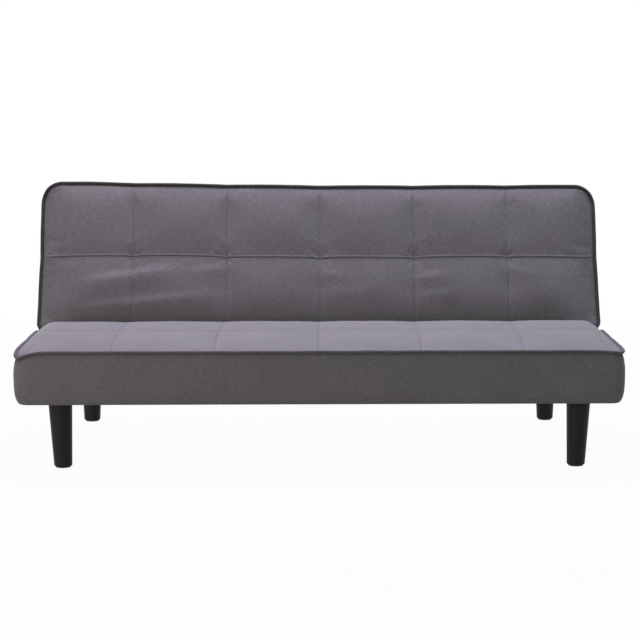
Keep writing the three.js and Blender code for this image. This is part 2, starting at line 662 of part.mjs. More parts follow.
// A leg leans a little: its foot stands in from its top, which meets the mounting plate
function buildLeg(name, footX, footY, topX, topY) {
  const foot = GLIDE_THICKNESS + TOUCH_GAP;
  const lean = (z) => (z - foot) / (LEG_HEIGHT - foot);
  const ring = (z, inward) => {
    const share = lean(z);
    const radius = LEG_FOOT_RADIUS + (LEG_TOP_RADIUS - LEG_FOOT_RADIUS) * share - inward;
    const x = footX + (topX - footX) * share;
    const y = footY + (topY - footY) * share;
    return circleRing(x, y, z, radius, LEG_SIDES);
  };
  const shape = loft([
    ring(foot, LEG_FOOT_CHAMFER),
    ring(foot + LEG_FOOT_CHAMFER, 0),
    ring(LEG_HEIGHT, 0),
  ]);
  const boreBottom = LEG_HEIGHT - STUD_DEPTH - TOUCH_GAP;
  const bore = post(topX, topY, boreBottom, LEG_HEIGHT + CUT_OVERRUN, STUD_RADIUS + TOUCH_GAP);
  addPiece(sofa, `leg_${name}`, cut(shape, [bore]), PLASTIC);

  const plateZ = [LEG_HEIGHT + TOUCH_GAP, LEG_HEIGHT + TOUCH_GAP + LEG_PLATE_THICKNESS];
  const half = LEG_PLATE_SIZE / 2;
  const plate = block([topX - half, topX + half], [topY - half, topY + half], plateZ);
  const hole = post(topX, topY, LEG_HEIGHT - CUT_OVERRUN, FRAME_BOTTOM + CUT_OVERRUN, STUD_RADIUS + TOUCH_GAP);
  addPiece(sofa, `leg_plate_${name}`, cut(plate, [hole]), STEEL);
  const stud = post(topX, topY, LEG_HEIGHT - STUD_DEPTH, plateZ[1], STUD_RADIUS);
  addPiece(sofa, `leg_stud_${name}`, stud, ZINC);
  addPiece(sofa, `glide_${name}`, post(footX, footY, 0, GLIDE_THICKNESS, GLIDE_RADIUS), PLASTIC);
}

function buildLegs() {
  [['left', -1], ['right', 1]].forEach(([name, side]) => {
    const frontTopX = side * (LEG_X + LEG_SPLAY);
    buildLeg(`front_${name}`, side * LEG_X, FRONT_LEG_Y, frontTopX, FRONT_LEG_Y);
    buildLeg(`rear_${name}`, side * LEG_X, REAR_LEG_Y, side * LEG_X, REAR_LEG_TOP_Y);
  });
}

// Ratchet hinge profiles
function hole(shape, y, z, radius) {
  const path = new THREE.Path();
  path.absarc(y, z, radius, 0, 2 * Math.PI, false);
  shape.holes.push(path);
}

// The arm screwed inside the backrest's side rail, with the toothed rim round its hub.
// Notches stand where the pawl rests with the back upright, reclined and flat.
function armShape() {
  const at = (radius, angle) => [
    PIVOT_Y + radius * Math.cos(angle),
    PIVOT_Z + radius * Math.sin(angle),
  ];
  const straightDown = -Math.PI / 2;
  const flat = straightDown;
  const upright = straightDown - FOLD_ANGLE;
  const recline = upright + RECLINE_STEP;
  const root = RATCHET_RADIUS - NOTCH_DEPTH;
  const shape = new THREE.Shape();
  const heelY = BACK_START + BACK_CAVITY_INSET + BACK_RAIL_THICKNESS + 2 * TOUCH_GAP + ARM_EDGE_MARGIN;
  const heelZ = BACK_RAIL_BOTTOM + ARM_EDGE_MARGIN;
  shape.moveTo(PIVOT_Y, PIVOT_Z + HUB_RADIUS);
  shape.lineTo(PIVOT_Y + ARM_REACH, BACK_RAIL_TOP);
  shape.lineTo(PIVOT_Y + ARM_REACH, heelZ);
  shape.lineTo(heelY, heelZ);
  shape.lineTo(heelY, BACK_RAIL_TOP + ARM_EDGE_MARGIN);
  shape.lineTo(...at(RATCHET_RADIUS, straightDown + RATCHET_RUNOUT));
  let angle = straightDown + RATCHET_RUNOUT;
  [flat, recline].forEach((notch) => {
    shape.absarc(PIVOT_Y, PIVOT_Z, RATCHET_RADIUS, angle, notch + NOTCH_HALF_ANGLE, true);
    shape.lineTo(...at(root, notch + NOTCH_HALF_ANGLE));
    shape.lineTo(...at(root, notch - NOTCH_HALF_ANGLE));
    shape.lineTo(...at(RATCHET_RADIUS, notch - NOTCH_HALF_ANGLE));
    angle = notch - NOTCH_HALF_ANGLE;
  });
  const release = upright + NOTCH_HALF_ANGLE;
  shape.absarc(PIVOT_Y, PIVOT_Z, RATCHET_RADIUS, angle, release, true);
  shape.lineTo(...at(HUB_RADIUS, release));
  shape.absarc(PIVOT_Y, PIVOT_Z, HUB_RADIUS, release, Math.PI / 2 - 2 * Math.PI, true);
  hole(shape, PIVOT_Y, PIVOT_Z, PIN_RADIUS + TOUCH_GAP);
  return shape;
}

// The plate screwed inside the seat's side rail, which carries both pins
function basePlateShape() {
  const rear = SEAT_DEPTH - SEAT_CAVITY_INSET - TOUCH_GAP;
  const railEnd = rear - SEAT_RAIL_THICKNESS - TOUCH_GAP - ARM_EDGE_MARGIN;
  const step = SEAT_RAIL_TOP + ARM_EDGE_MARGIN;
  const bottom = FRAME_BOTTOM + ARM_EDGE_MARGIN;
  const lug = PAWL_PIVOT_Z - PAWL_EYE_RADIUS;
  const shape = new THREE.Shape();
  shape.moveTo(railEnd - BASE_PLATE_LENGTH, bottom);
  shape.lineTo(railEnd, bottom);
  shape.lineTo(railEnd, step);
  shape.lineTo(rear + ARM_EDGE_MARGIN, step);
  shape.lineTo(rear + ARM_EDGE_MARGIN, lug);
  shape.lineTo(PAWL_PIVOT_Y + PAWL_EYE_RADIUS, lug);
  shape.lineTo(PIVOT_Y + HUB_RADIUS, PIVOT_Z);
  shape.absarc(PIVOT_Y, PIVOT_Z, HUB_RADIUS, 0, Math.PI, false);
  shape.lineTo(railEnd - BASE_PLATE_LENGTH, SEAT_RAIL_TOP - ARM_EDGE_MARGIN);
  hole(shape, PIVOT_Y, PIVOT_Z, PIN_RADIUS + TOUCH_GAP);
  hole(shape, PAWL_PIVOT_Y, PAWL_PIVOT_Z, PAWL_PIN_RADIUS + TOUCH_GAP);
  return shape;
}

function pawlShape() {
  const half = PAWL_TOOTH_WIDTH / 2;
  const shape = new THREE.Shape();
  shape.moveTo(PAWL_PIVOT_Y, PAWL_PIVOT_Z - PAWL_EYE_RADIUS);
  shape.lineTo(PAWL_TIP_Y + PAWL_TOOTH_WIDTH, PAWL_PIVOT_Z - half);
  shape.lineTo(PAWL_TIP_Y + half, PAWL_TIP_Z);
  shape.lineTo(PAWL_TIP_Y - half, PAWL_TIP_Z);
  shape.lineTo(PAWL_TIP_Y - PAWL_TOOTH_WIDTH, PAWL_PIVOT_Z + half);
  shape.lineTo(PAWL_PIVOT_Y, PAWL_PIVOT_Z + PAWL_EYE_RADIUS);
  shape.absarc(PAWL_PIVOT_Y, PAWL_PIVOT_Z, PAWL_EYE_RADIUS, Math.PI / 2, Math.PI * 1.5, false);
  hole(shape, PAWL_PIVOT_Y, PAWL_PIVOT_Z, PAWL_PIN_RADIUS + TOUCH_GAP);
  return shape;
}

function buildHinges() {
  const grip = ARM_OUTER_X - BASE_PLATE_INNER_X + 2 * TOUCH_GAP;
  const start = BASE_PLATE_INNER_X - TOUCH_GAP - PIN_HEAD_THICKNESS;
  const head = PIN_HEAD_THICKNESS;
  const pivotPin = [
    [0, 0], [PIN_HEAD_RADIUS, 0], [PIN_HEAD_RADIUS, head], [PIN_RADIUS, head],
    [PIN_RADIUS, head + grip], [PIN_HEAD_RADIUS, head + grip],
    [PIN_HEAD_RADIUS, 2 * head + grip], [0, 2 * head + grip],
  ];
  const pawlPin = [
    [0, 0], [PAWL_SPRING_RADIUS, 0], [PAWL_SPRING_RADIUS, head], [PAWL_PIN_RADIUS, head],
    [PAWL_PIN_RADIUS, 2 * head + grip], [0, 2 * head + grip],
  ];
  const inner = PAWL_PIN_RADIUS + TOUCH_GAP;
  const springRing = [
    [inner, 0], [PAWL_SPRING_RADIUS, 0], [PAWL_SPRING_RADIUS, head], [inner, head], [inner, 0],
  ];
  [['left', -1], ['right', 1]].forEach(([name, side]) => {
    const armRange = sideRange(side, ARM_INNER_X, ARM_OUTER_X);
    const plateRange = sideRange(side, BASE_PLATE_INNER_X, BASE_PLATE_OUTER_X);
    addPiece(backrest, `hinge_arm_${name}`, prism(armShape(), armRange), STEEL);
    addPiece(sofa, `hinge_base_${name}`, prism(basePlateShape(), plateRange), STEEL);
    addPiece(sofa, `pawl_${name}`, prism(pawlShape(), armRange), ZINC);
    addPiece(sofa, `hinge_pin_${name}`, turned(pivotPin, start, side, PIVOT_Y, PIVOT_Z), ZINC);
    addPiece(sofa, `pawl_pin_${name}`, turned(pawlPin, start, side, PAWL_PIVOT_Y, PAWL_PIVOT_Z), ZINC);
    const springStart = ARM_OUTER_X + TOUCH_GAP;
    const ring = turned(springRing, springStart, side, PAWL_PIVOT_Y, PAWL_PIVOT_Z);
    addPiece(sofa, `pawl_spring_${name}`, ring, STEEL);
  });
}

buildSeat();
buildBackrest();
buildBase();
buildLegs();
buildHinges();

// The backrest's pieces turn up together about the line of the hinge pins
backrest.children.forEach((mesh) => mesh.geometry.translate(0, -PIVOT_Y, -PIVOT_Z));
backrest.position.set(0, PIVOT_Y, PIVOT_Z);
backrest.rotation.x = FOLD_ANGLE;

const group = new THREE.Group();
sofa.position.y = -OVERALL_DEPTH / 2;
group.add(sofa);

export default group;
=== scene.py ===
"""The looks of a click clack sofa bed: two quilted cushions on four tapered legs.

Lengths are metres in the frame's own axes: +X to the right, +Y to the rear, +Z up. The
backrest's pieces are worked out as it lies flat, and turned up about its hinge pins.
"""

import json
import logging
import math
from dataclasses import dataclass
from enum import Enum
from functools import cache
from typing import Callable, Optional

import bpy
import numpy as np
from mathutils import Matrix, Vector


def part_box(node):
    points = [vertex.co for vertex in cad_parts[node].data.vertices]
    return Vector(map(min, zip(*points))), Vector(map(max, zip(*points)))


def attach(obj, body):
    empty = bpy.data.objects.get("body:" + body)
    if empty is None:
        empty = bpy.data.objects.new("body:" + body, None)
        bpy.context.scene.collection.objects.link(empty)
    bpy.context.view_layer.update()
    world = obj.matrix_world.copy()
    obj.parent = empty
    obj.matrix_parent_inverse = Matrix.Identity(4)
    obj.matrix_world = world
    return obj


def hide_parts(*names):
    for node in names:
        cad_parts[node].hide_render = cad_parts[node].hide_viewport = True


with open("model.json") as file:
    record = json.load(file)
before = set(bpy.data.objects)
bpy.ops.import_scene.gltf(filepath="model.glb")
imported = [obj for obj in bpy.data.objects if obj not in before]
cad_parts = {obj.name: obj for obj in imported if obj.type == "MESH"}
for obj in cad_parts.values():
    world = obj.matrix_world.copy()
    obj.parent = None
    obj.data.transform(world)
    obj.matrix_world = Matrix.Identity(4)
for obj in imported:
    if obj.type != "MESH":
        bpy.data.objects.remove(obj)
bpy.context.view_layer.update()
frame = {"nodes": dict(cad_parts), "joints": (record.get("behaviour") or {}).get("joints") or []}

LOG = logging.getLogger("sofa_bed")
MM = 0.001
SIDES = ("left", "right")
CORNERS = ("front_left", "front_right", "rear_left", "rear_right")
AXES = np.eye(3)
WHITE = (1.0, 1.0, 1.0, 1.0)
Array = np.ndarray
Socket = bpy.types.NodeSocket


class Body(Enum):
    """The moving groups that a piece can ride on."""

    SEAT = "seat_section"
    BACK = "backrest"


class Slot(Enum):
    """The record's material slots."""

    UPHOLSTERY = "upholstery"
    PIPING = "piping"
    LINING = "lining"
    RUBBER = "bumper_rubber"
    LEG = "leg_plastic"
    GLIDE = "glide_plastic"
    ZINC = "zinc_steel"
    STEEL = "black_steel"


class ShaderGraph:
    """The nodes of a material or of the world, being put together."""

    def __init__(self, name: str, owner: Optional[bpy.types.World] = None) -> None:
        """Starts a material of this name, or an owner's nodes, with an output node alone."""
        output = "OutputWorld" if owner else "OutputMaterial"
        owner = owner or bpy.data.materials.new(name)
        owner.use_nodes = True
        self.owner, self.tree = owner, owner.node_tree
        self.tree.nodes.clear()
        self.output = self.tree.nodes.new(f"ShaderNode{output}")

    def add(self, kind: str, inputs: Optional[dict] = None, output: object = 0, **settings: object) -> Socket:
        """Adds a node.

        Args:
            kind: The node's type, after the word that all types begin with.
            inputs: A value or another node's socket for each named or numbered input.
            output: The name or number of the wanted output.
            settings: The node's own properties.

        Returns:
            The wanted output.
        """
        node = self.tree.nodes.new(f"ShaderNode{kind}")
        for name, value in settings.items():
            setattr(node, name, value)
        for name, value in (inputs or {}).items():
            if isinstance(value, Socket):
                self.tree.links.new(value, node.inputs[name])
            else:
                node.inputs[name].default_value = value
        return node.outputs[output]

    def math(self, operation: str, *values: object) -> Socket:
        """Works out one sum on numbers or sockets."""
        return self.add("Math", dict(enumerate(values)), operation=operation)

    def total(self, a: Socket, share_a: float, b: Socket, share_b: float) -> Socket:
        """Adds two values, each times its own share."""
        return self.math("ADD", self.math("MULTIPLY", a, share_a), self.math("MULTIPLY", b, share_b))

    def noise(self, place: Socket, cells: tuple, detail: float = 2.0) -> Socket:
        """Noise around one half, with so many cells a metre along each axis."""
        spread = self.add("Mapping", {"Vector": place, "Scale": cells})
        return self.add("TexNoise", {"Vector": spread, "Scale": 1.0, "Detail": detail})

    def spread(self, value: Socket, low: tuple, high: tuple) -> Socket:
        """Maps a value that runs over low to the range high, kept inside it."""
        names = ("Value", "From Min", "From Max", "To Min", "To Max")
        return self.add("MapRange", dict(zip(names, (value, *low, *high))))

    def tint(self, share: Socket, a: tuple, b: tuple) -> Socket:
        """Mixes two colours by a share."""
        return self.add("Mix", {0: share, 6: (*a, 1.0), 7: (*b, 1.0)}, 2, data_type="RGBA")

    def close(self, shader: Socket) -> bpy.types.ID:
        """Links a shader to the output, and gives the finished material or world."""
        self.tree.links.new(shader, self.output.inputs["Surface"])
        return self.owner


@dataclass(frozen=True)
class Finish:
    """What every finish has: its name, the record's slot for new pieces, and two colours.

    Each kind of finish has a pattern, which gives the share of the light colour, the height
    of the surface in units of the finish's bump, and the shader's other inputs.
    """

    name: str
    slot: Optional[Slot]
    dark: tuple
    light: tuple

    @cache
    def material(self) -> bpy.types.Material:
        """Makes the material, once."""
        g = ShaderGraph(self.name)
        share, height, inputs = self.pattern(g)
        inputs["Base Color"] = g.tint(share, self.dark, self.light)
        inputs["Normal"] = g.add("Bump", {"Height": height, "Distance": self.bump, "Strength": 1.0})
        return g.close(g.add("BsdfPrincipled", inputs))


@dataclass(frozen=True)
class WovenCloth(Finish):
    """Plain weave with slubs: thick stretches of yarn that run along and across."""

    thread: float = 1.1 * MM
    sheen: float = 0.45
    bump: float = 0.25 * MM

    def pattern(self, g: ShaderGraph) -> tuple[Socket, Socket, dict]:
        """Threads are the product of two sines across and along the cloth.

        The tint follows noise stretched along both threads, larger clouds, and flecks.
        """
        cloth = g.add("UVMap", uv_map="cloth")
        axes = g.add("SeparateXYZ", {0: cloth}).node.outputs
        turn = math.pi / self.thread
        weave = g.math("MULTIPLY", *(g.math("SINE", g.math("MULTIPLY", axes[i], turn)) for i in range(2)))
        across, along = g.noise(cloth, (70.0, 520.0, 1.0)), g.noise(cloth, (520.0, 112.0, 1.0))
        clouds = g.noise(cloth, (7.0, 9.0, 1.0), 3.0)
        spots = g.noise(cloth, (230.0, 300.0, 1.0), 1.0)
        light, dark = g.spread(spots, (0.64, 0.76), (0.0, 0.5)), g.spread(spots, (0.24, 0.34), (0.35, 0.0))
        slubs = g.total(across, 0.62, along, 0.38)
        share = g.spread(g.total(slubs, 0.86, clouds, 0.14), (0.31, 0.69), (0.0, 1.0))
        share = g.total(g.math("ADD", share, g.math("SUBTRACT", light, dark)), 1.0, weave, 0.12)
        return share, g.total(weave, 0.5, slubs, 1.0), {
            "Roughness": 0.92,
            "Specular IOR Level": 0.25,
            "Sheen Weight": self.sheen,
            "Sheen Roughness": 0.32,
            "Sheen Tint": (0.86, 0.86, 0.92, 1.0),
        }


@dataclass(frozen=True)
class Grained(Finish):
    """A finish whose tint, gloss and height follow one stretched noise and a finer one."""

    cells: tuple
    roughness: tuple
    metallic: float = 0.0
    bump: float = 0.05 * MM
    detail: float = 3.0
    specular: float = 0.4
    fine: float = 6.0

    def pattern(self, g: ShaderGraph) -> tuple[Socket, Socket, dict]:
        """Noise, with finer noise on it."""
        place = g.add("TexCoord", output="Object")
        speck = g.noise(place, tuple(c * self.fine for c in self.cells), 1.0)
        both = g.total(g.noise(place, self.cells, self.detail), 0.7, speck, 0.3)
        return g.spread(both, (0.35, 0.65), (0.0, 1.0)), both, {
            "Roughness": g.spread(speck, (0.3, 0.7), self.roughness),
            "Metallic": self.metallic,
            "Specular IOR Level": self.specular,
        }


@dataclass(frozen=True)
class Cellular(Finish):
    """A finish of small cells: bonded dots in a lining, pores in foam."""

    cells: float
    roughness: float = 0.95
    bump: float = 0.3 * MM

    def pattern(self, g: ShaderGraph) -> tuple[Socket, Socket, dict]:
        """Cells, with coarser noise on them."""
        place = g.add("TexCoord", output="Object")
        cell = g.add("TexVoronoi", {"Vector": place, "Scale": self.cells}, "Distance")
        both = g.total(cell, 0.6, g.noise(place, (self.cells / 3,) * 3, 4.0), 0.5)
        share = g.spread(both, (0.3, 0.75), (0.0, 1.0))
        return share, both, {"Roughness": self.roughness, "Specular IOR Level": 0.2}


UPHOLSTERY = WovenCloth("upholstery_weave", Slot.UPHOLSTERY, (0.100, 0.092, 0.104), (0.205, 0.191, 0.213))
SEAT_PIPING = WovenCloth("seat_piping_weave", Slot.PIPING, (0.058, 0.055, 0.059), (0.122, 0.117, 0.125),
                         0.9 * MM, 0.2)
BACK_PIPING = WovenCloth("back_piping_weave", Slot.PIPING, (0.028, 0.0272, 0.029), (0.062, 0.060, 0.063),
                         0.9 * MM, 0.1)
THREAD = Grained("sewing_thread", Slot.UPHOLSTERY, (0.075, 0.072, 0.08), (0.15, 0.145, 0.158),
                 (900.0,) * 3, (0.6, 0.8))
LEG_PLASTIC = Grained("leg_plastic", Slot.LEG, (0.0125, 0.0136, 0.012), (0.0205, 0.0222, 0.0196),
                      (35.0, 35.0, 8.0), (0.42, 0.55), specular=0.13)
GLIDE_PLASTIC = Grained("glide_plastic", Slot.GLIDE, (0.012,) * 3, (0.03,) * 3, (180.0,) * 3, (0.5, 0.7))
BLACK_STEEL = Grained("powder_coated_steel", Slot.STEEL, (0.012, 0.012, 0.013), (0.024, 0.024, 0.026),
                      (700.0,) * 3, (0.38, 0.55), bump=0.06 * MM)
ZINC = Grained("zinc_plate", Slot.ZINC, (0.42, 0.42, 0.44), (0.62, 0.62, 0.63), (90.0, 420.0, 420.0),
               (0.26, 0.46), 1.0, 0.02 * MM)
SPRING = Grained("spring_steel", None, (0.10, 0.10, 0.11), (0.24, 0.24, 0.25), (300.0,) * 3,
                 (0.3, 0.5), 1.0, 0.02 * MM)
RUBBER = Grained("bumper_rubber", Slot.RUBBER, (0.010,) * 3, (0.026,) * 3, (260.0,) * 3,
                 (0.7, 0.9), bump=0.1 * MM)
TIMBER = Grained("sawn_timber", None, (0.42, 0.26, 0.12), (0.68, 0.48, 0.27), (6.0, 60.0, 110.0),
                 (0.6, 0.85), bump=0.3 * MM, detail=5.0)
WEBBING = Grained("webbing", None, (0.018, 0.018, 0.02), (0.06, 0.06, 0.064), (900.0, 120.0, 900.0),
                  (0.8, 0.95), bump=0.3 * MM)
FELT = Grained("wadding_felt", None, (0.34, 0.32, 0.29), (0.62, 0.6, 0.56), (240.0,) * 3, (0.9, 1.0),
               bump=0.6 * MM, detail=5.0)
FOAM = Cellular("cut_foam", None, (0.62, 0.55, 0.33), (0.84, 0.78, 0.55), 700.0)
LINING = Cellular("bonded_lining", Slot.LINING, (0.007, 0.007, 0.008), (0.022, 0.022, 0.024), 520.0,
                  0.9, 0.12 * MM)

# The first part of a node's name that is found here gives the finish of its solid.
CAD_FINISHES = {
    "rail": TIMBER, "centre_bar": TIMBER, "_web_": WEBBING, "_felt": FELT, "_foam": FOAM, "_pin_": ZINC,
    "leg_stud": ZINC, "leg_plate": BLACK_STEEL, "hinge_": BLACK_STEEL, "pawl_spring": SPRING, "pawl_": ZINC,
}


def cells(grid: Array) -> Array:
    """The four corners of each cell of a grid, in order round it."""
    return np.stack([grid[:-1, :-1], grid[:-1, 1:], grid[1:, 1:], grid[1:, :-1]], axis=2)


def looped(lines: Array, axis: int = 0) -> Array:
    """Repeats the first line of a grid, or point of a line, after the last."""
    return np.concatenate([lines, lines.take([0], axis)], axis=axis)


class MeshDraft:
    """Gathers points and four-sided faces, and makes one mesh of them."""

    def __init__(self) -> None:
        """Starts with nothing."""
        self.blocks, self.quads, self.places = [], [], []
        self.count = 0

    def points(self, xyz: Array) -> Array:
        """Adds points, in any layout, and gives their numbers in the same layout."""
        numbers = self.count + np.arange(xyz[..., 0].size).reshape(xyz.shape[:-1])
        self.blocks.append(xyz.reshape(-1, 3))
        self.count += numbers.size
        return numbers

    def patch(self, ids: Array, uv: Optional[Array] = None, keep: Optional[Array] = None,
              flip: bool = False) -> None:
        """Adds the faces between the rows and columns of a grid of point numbers.

        Args:
            ids: Point numbers. A closed direction repeats its first line.
            uv: Cloth places in metres for each grid point.
            keep: Which faces are there, one less than ids each way.
            flip: Turns the faces over. Unturned, they face to columns crossed with rows.
        """
        uv = np.zeros((*ids.shape, 2)) if uv is None else uv
        keep = slice(None) if keep is None else keep.ravel()
        step = -1 if flip else 1
        self.quads.append(cells(ids).reshape(-1, 4)[keep, ::step])
        self.places.append(cells(uv).reshape(-1, 4, 2)[keep, ::step])

    def build(self, name: str, material: bpy.types.Material) -> bpy.types.Object:
        """Makes the object. A face with two equal corners side by side becomes a triangle."""
        quads, places = np.concatenate(self.quads), np.concatenate(self.places)
        used = quads != np.roll(quads, -1, axis=1)
        sizes = used.sum(axis=1)
        whole = sizes > 2
        used, sizes = used & whole[:, None], sizes[whole]
        mesh = bpy.data.meshes.new(name)
        mesh.vertices.add(self.count)
        mesh.vertices.foreach_set("co", np.concatenate(self.blocks).astype(np.float32).ravel())
        mesh.loops.add(int(sizes.sum()))
        mesh.loops.foreach_set("vertex_index", quads[used].astype(np.int32))
        mesh.polygons.add(len(sizes))
        mesh.polygons.foreach_set("loop_start", np.append(0, np.cumsum(sizes)[:-1]).astype(np.int32))
        mesh.update(calc_edges=True)
        mesh.uv_layers.new(name="cloth").uv.foreach_set("vector", places[used].astype(np.float32).ravel())
        mesh.polygons.foreach_set("use_smooth", np.ones(len(sizes), bool))
        mesh.materials.append(material)
        mesh.validate()
        piece = bpy.data.objects.new(name, mesh)
        bpy.context.scene.collection.objects.link(piece)
        return piece

    def piece(self, name: str, finish: Finish, body: Body, *nodes: str) -> bpy.types.Object:
        """Makes a piece of the sofa bed.

        Args:
            name: The piece's name.
            finish: Its finish, whose material the piece gets.
            body: What it rides on.
            nodes: The nodes that it stands for.

        Returns:
            The new object, at the origin.
        """
        piece = self.build(name, finish.material())
        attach(piece, body.value)
        if nodes:
            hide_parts(*nodes)
        LOG.info("%s: %d faces on %s", name, len(piece.data.polygons), body.value)
        return piece


def unit(vectors: Array) -> Array:
    """Scales each vector to length one."""
    return vectors / np.maximum(np.linalg.norm(vectors, axis=-1, keepdims=True), 1e-12)


def distance_along(points: Array) -> Array:
    """The length of the line through the points, up to each of them."""
    return np.append(0.0, np.cumsum(np.linalg.norm(np.diff(points, axis=0), axis=1)))


def interpolated(where: Array, length: Array, values: Array) -> Array:
    """Reads every column of values, known at the lengths, at other lengths."""
    return np.stack([np.interp(where, length, column) for column in values.T], axis=-1)


def nearness(distance: Array, reach: float) -> Array:
    """One at no distance, falling as a square to nought at the reach."""
    return np.clip(1 - distance / reach, 0, None) ** 2


def ramp(value: Array, start: float, end: float) -> Array:
    """Nought at the start and before it, one at the end and past it, and even in between."""
    return np.clip((value - start) / (end - start), 0, 1)


def bell(offset: Array, width: Array) -> Array:
    """One at no offset, falling as a bell curve over the width."""
    return np.exp(-((offset / width) ** 2))


def ripple(x: Array, y: Array, seed: int, *lengths: float) -> Array:
    """Gentle unevenness: a mean of sine waves, of lengths in mm, in seeded directions."""
    random = np.random.default_rng(seed)
    total = 0.0
    for length in lengths:
        angle, phase = random.uniform(0, math.pi), random.uniform(0, 2 * math.pi)
        along = x * math.cos(angle) + y * math.sin(angle)
        total = total + np.sin(along * 2 * math.pi / (length * MM) + phase)
    return total / len(lengths)


def round_corners(offset: Array, half: Array, radius: Array) -> tuple[Array, Array, Array]:
    """Draws the square corners of a plan in to round ones.

    Past the start of a corner, the square with sides a and b becomes a quarter disc:
    a times the root of 1 - b^2 / 2, and b times the root of 1 - a^2 / 2.

    Args:
        offset: Places from the plan's middle, across and along.
        half: Half the plan's size, across and along.
        radius: The corners' radius, at each place or for all.

    Returns:
        The new places, the new sides a and b with their signs, and where a corner is.
    """
    part = (np.abs(offset) - half + radius) / radius
    corner = (part > 0).all(axis=-1, keepdims=True)
    part = np.where(corner, part * np.sqrt(np.clip(1 - part[..., ::-1] ** 2 / 2, 0, None)), part)
    sign = np.where(offset < 0, -1.0, 1.0)
    return sign * (half - radius + radius * part), sign * part, corner


def unmoved(points: Array) -> Array:
    """Leaves the seat's points where they are."""
    return points


def carried(place: Callable[[Array], Array], points: Array, *directions: Array) -> list:
    """Places points, and turns the directions that start at them in the same way."""
    base = place(points)
    return [base, *(place(points + direction) - base for direction in directions)]


def thicken(piece: bpy.types.Object, thickness: float) -> None:
    """Gives a sheet its thickness, on the side away from its face."""
    wall = piece.modifiers.new("thickness", "SOLIDIFY")
    wall.thickness = thickness
    wall.offset = -1.0


def swept(draft: MeshDraft, path: Array, across: Array, up: Array, section: Array, closed: bool) -> Array:
    """Carries a closed section along a path.

    Each point is the path's place, plus the section's first number across and its second
    up. Faces point out where the section runs from across to up, and across is the path's
    direction crossed with up.

    Args:
        draft: The mesh to add to.
        path: The n places along the path.
        across: The direction for the section's first number, at each place or for all.
        up: The same for its second number.
        section: The section's m points at each place.
        closed: Whether the path ends where it starts.

    Returns:
        The point numbers, m + 1 by n, or by n + 1 if closed.
    """
    across, up = np.broadcast_to(across, path.shape), np.broadcast_to(up, path.shape)
    xyz = path[:, None] + section[..., :1] * across[:, None] + section[..., 1:] * up[:, None]
    ids = looped(draft.points(xyz).T)
    if closed:
        ids, path = looped(ids, 1), looped(path)
    along, around = distance_along(path), distance_along(looped(section[0]))
    draft.patch(ids, np.stack(np.broadcast_arrays(along, around[:, None]), axis=-1))
    return ids


def close_end(draft: MeshDraft, ring: Array, centre: Array, first: bool) -> None:
    """Closes an end of a swept shape with a fan of triangles about its centre."""
    hub = np.full(len(ring), draft.points(centre[None])[0])
    draft.patch(np.stack([ring, hub], axis=1), flip=first)


def upright(path: Array, section: Array) -> MeshDraft:
    """A solid about a path that rises, with the section at each place, closed at both ends."""
    draft = MeshDraft()
    ids = swept(draft, path, AXES[0], -AXES[1], section, closed=False)
    close_end(draft, ids[:, 0], path[0], first=True)
    close_end(draft, ids[:, -1], path[-1], first=False)
    return draft


def circle(radius: float, sides: int) -> Array:
    """A round section."""
    angle = np.arange(sides) * 2 * math.pi / sides
    return radius * np.stack([np.cos(angle), np.sin(angle)], axis=1)


def rounded_rectangle(half: Array, radius: float, steps: int = 6) -> Array:
    """A section with straight sides and quarter circles of one radius at its corners."""
    quarter = np.linspace(0, math.pi / 2, steps)
    angle = (np.arange(4)[:, None] * math.pi / 2 + quarter).ravel()
    signs = np.repeat([[1, 1], [-1, 1], [-1, -1], [1, -1]], steps, axis=0)
    return signs * (half - radius) + radius * np.stack([np.cos(angle), np.sin(angle)], axis=1)


def rounded_block(low: Array, high: Array, radius: float, steps: int = 5) -> MeshDraft:
    """A block with an eighth of a ball at each corner.

    Each level is a rounded rectangle whose radius is the ball's at that height.
    """
    quarter = np.linspace(0, math.pi / 2, steps)
    rise = np.append(quarter - math.pi / 2, quarter)
    middle, inner = (high + low) / 2, (high - low) / 2 - radius
    z = middle[2] + np.repeat([-1, 1], steps) * inner[2] + radius * np.sin(rise)
    levels = [rounded_rectangle(inner[:2] + level, level, steps) for level in radius * np.cos(rise)]
    return upright(np.column_stack([np.tile(middle[:2], (2 * steps, 1)), z]), np.stack(levels))


CAPSULE_SIDES = 6
CAPSULE_RINGS = ((-1.0, 0.0), (-0.72, 1.0), (0.72, 1.0), (1.0, 0.0))


def capsules(draft: MeshDraft, spots: list, length: float, radius: float) -> None:
    """Adds small capsules: stitches of thread, or staples' bars.

    Args:
        draft: The mesh to add to.
        spots: Their centres, the ways they point, and the ways their tops face.
        length: A capsule's length.
        radius: Its radius.
    """
    centres, along, normal = spots
    shift, girth = np.array(CAPSULE_RINGS).T[..., None]
    ring = np.pad(circle(1.0, CAPSULE_SIDES), ((0, 0), (1, 0)))
    local = shift[..., None] * [length / 2, 0, 0] + girth[..., None] * radius * ring
    axes = np.stack([along, np.cross(normal, along), normal], axis=1)
    grid = looped(np.arange(local[..., 0].size).reshape(-1, CAPSULE_SIDES), 1)
    ids = draft.points(centres[:, None] + local.reshape(-1, 3) @ axes)
    draft.quads.append(ids[:, cells(grid)].reshape(-1, 4))
    draft.places.append(np.zeros((len(draft.quads[-1]), 4, 2)))


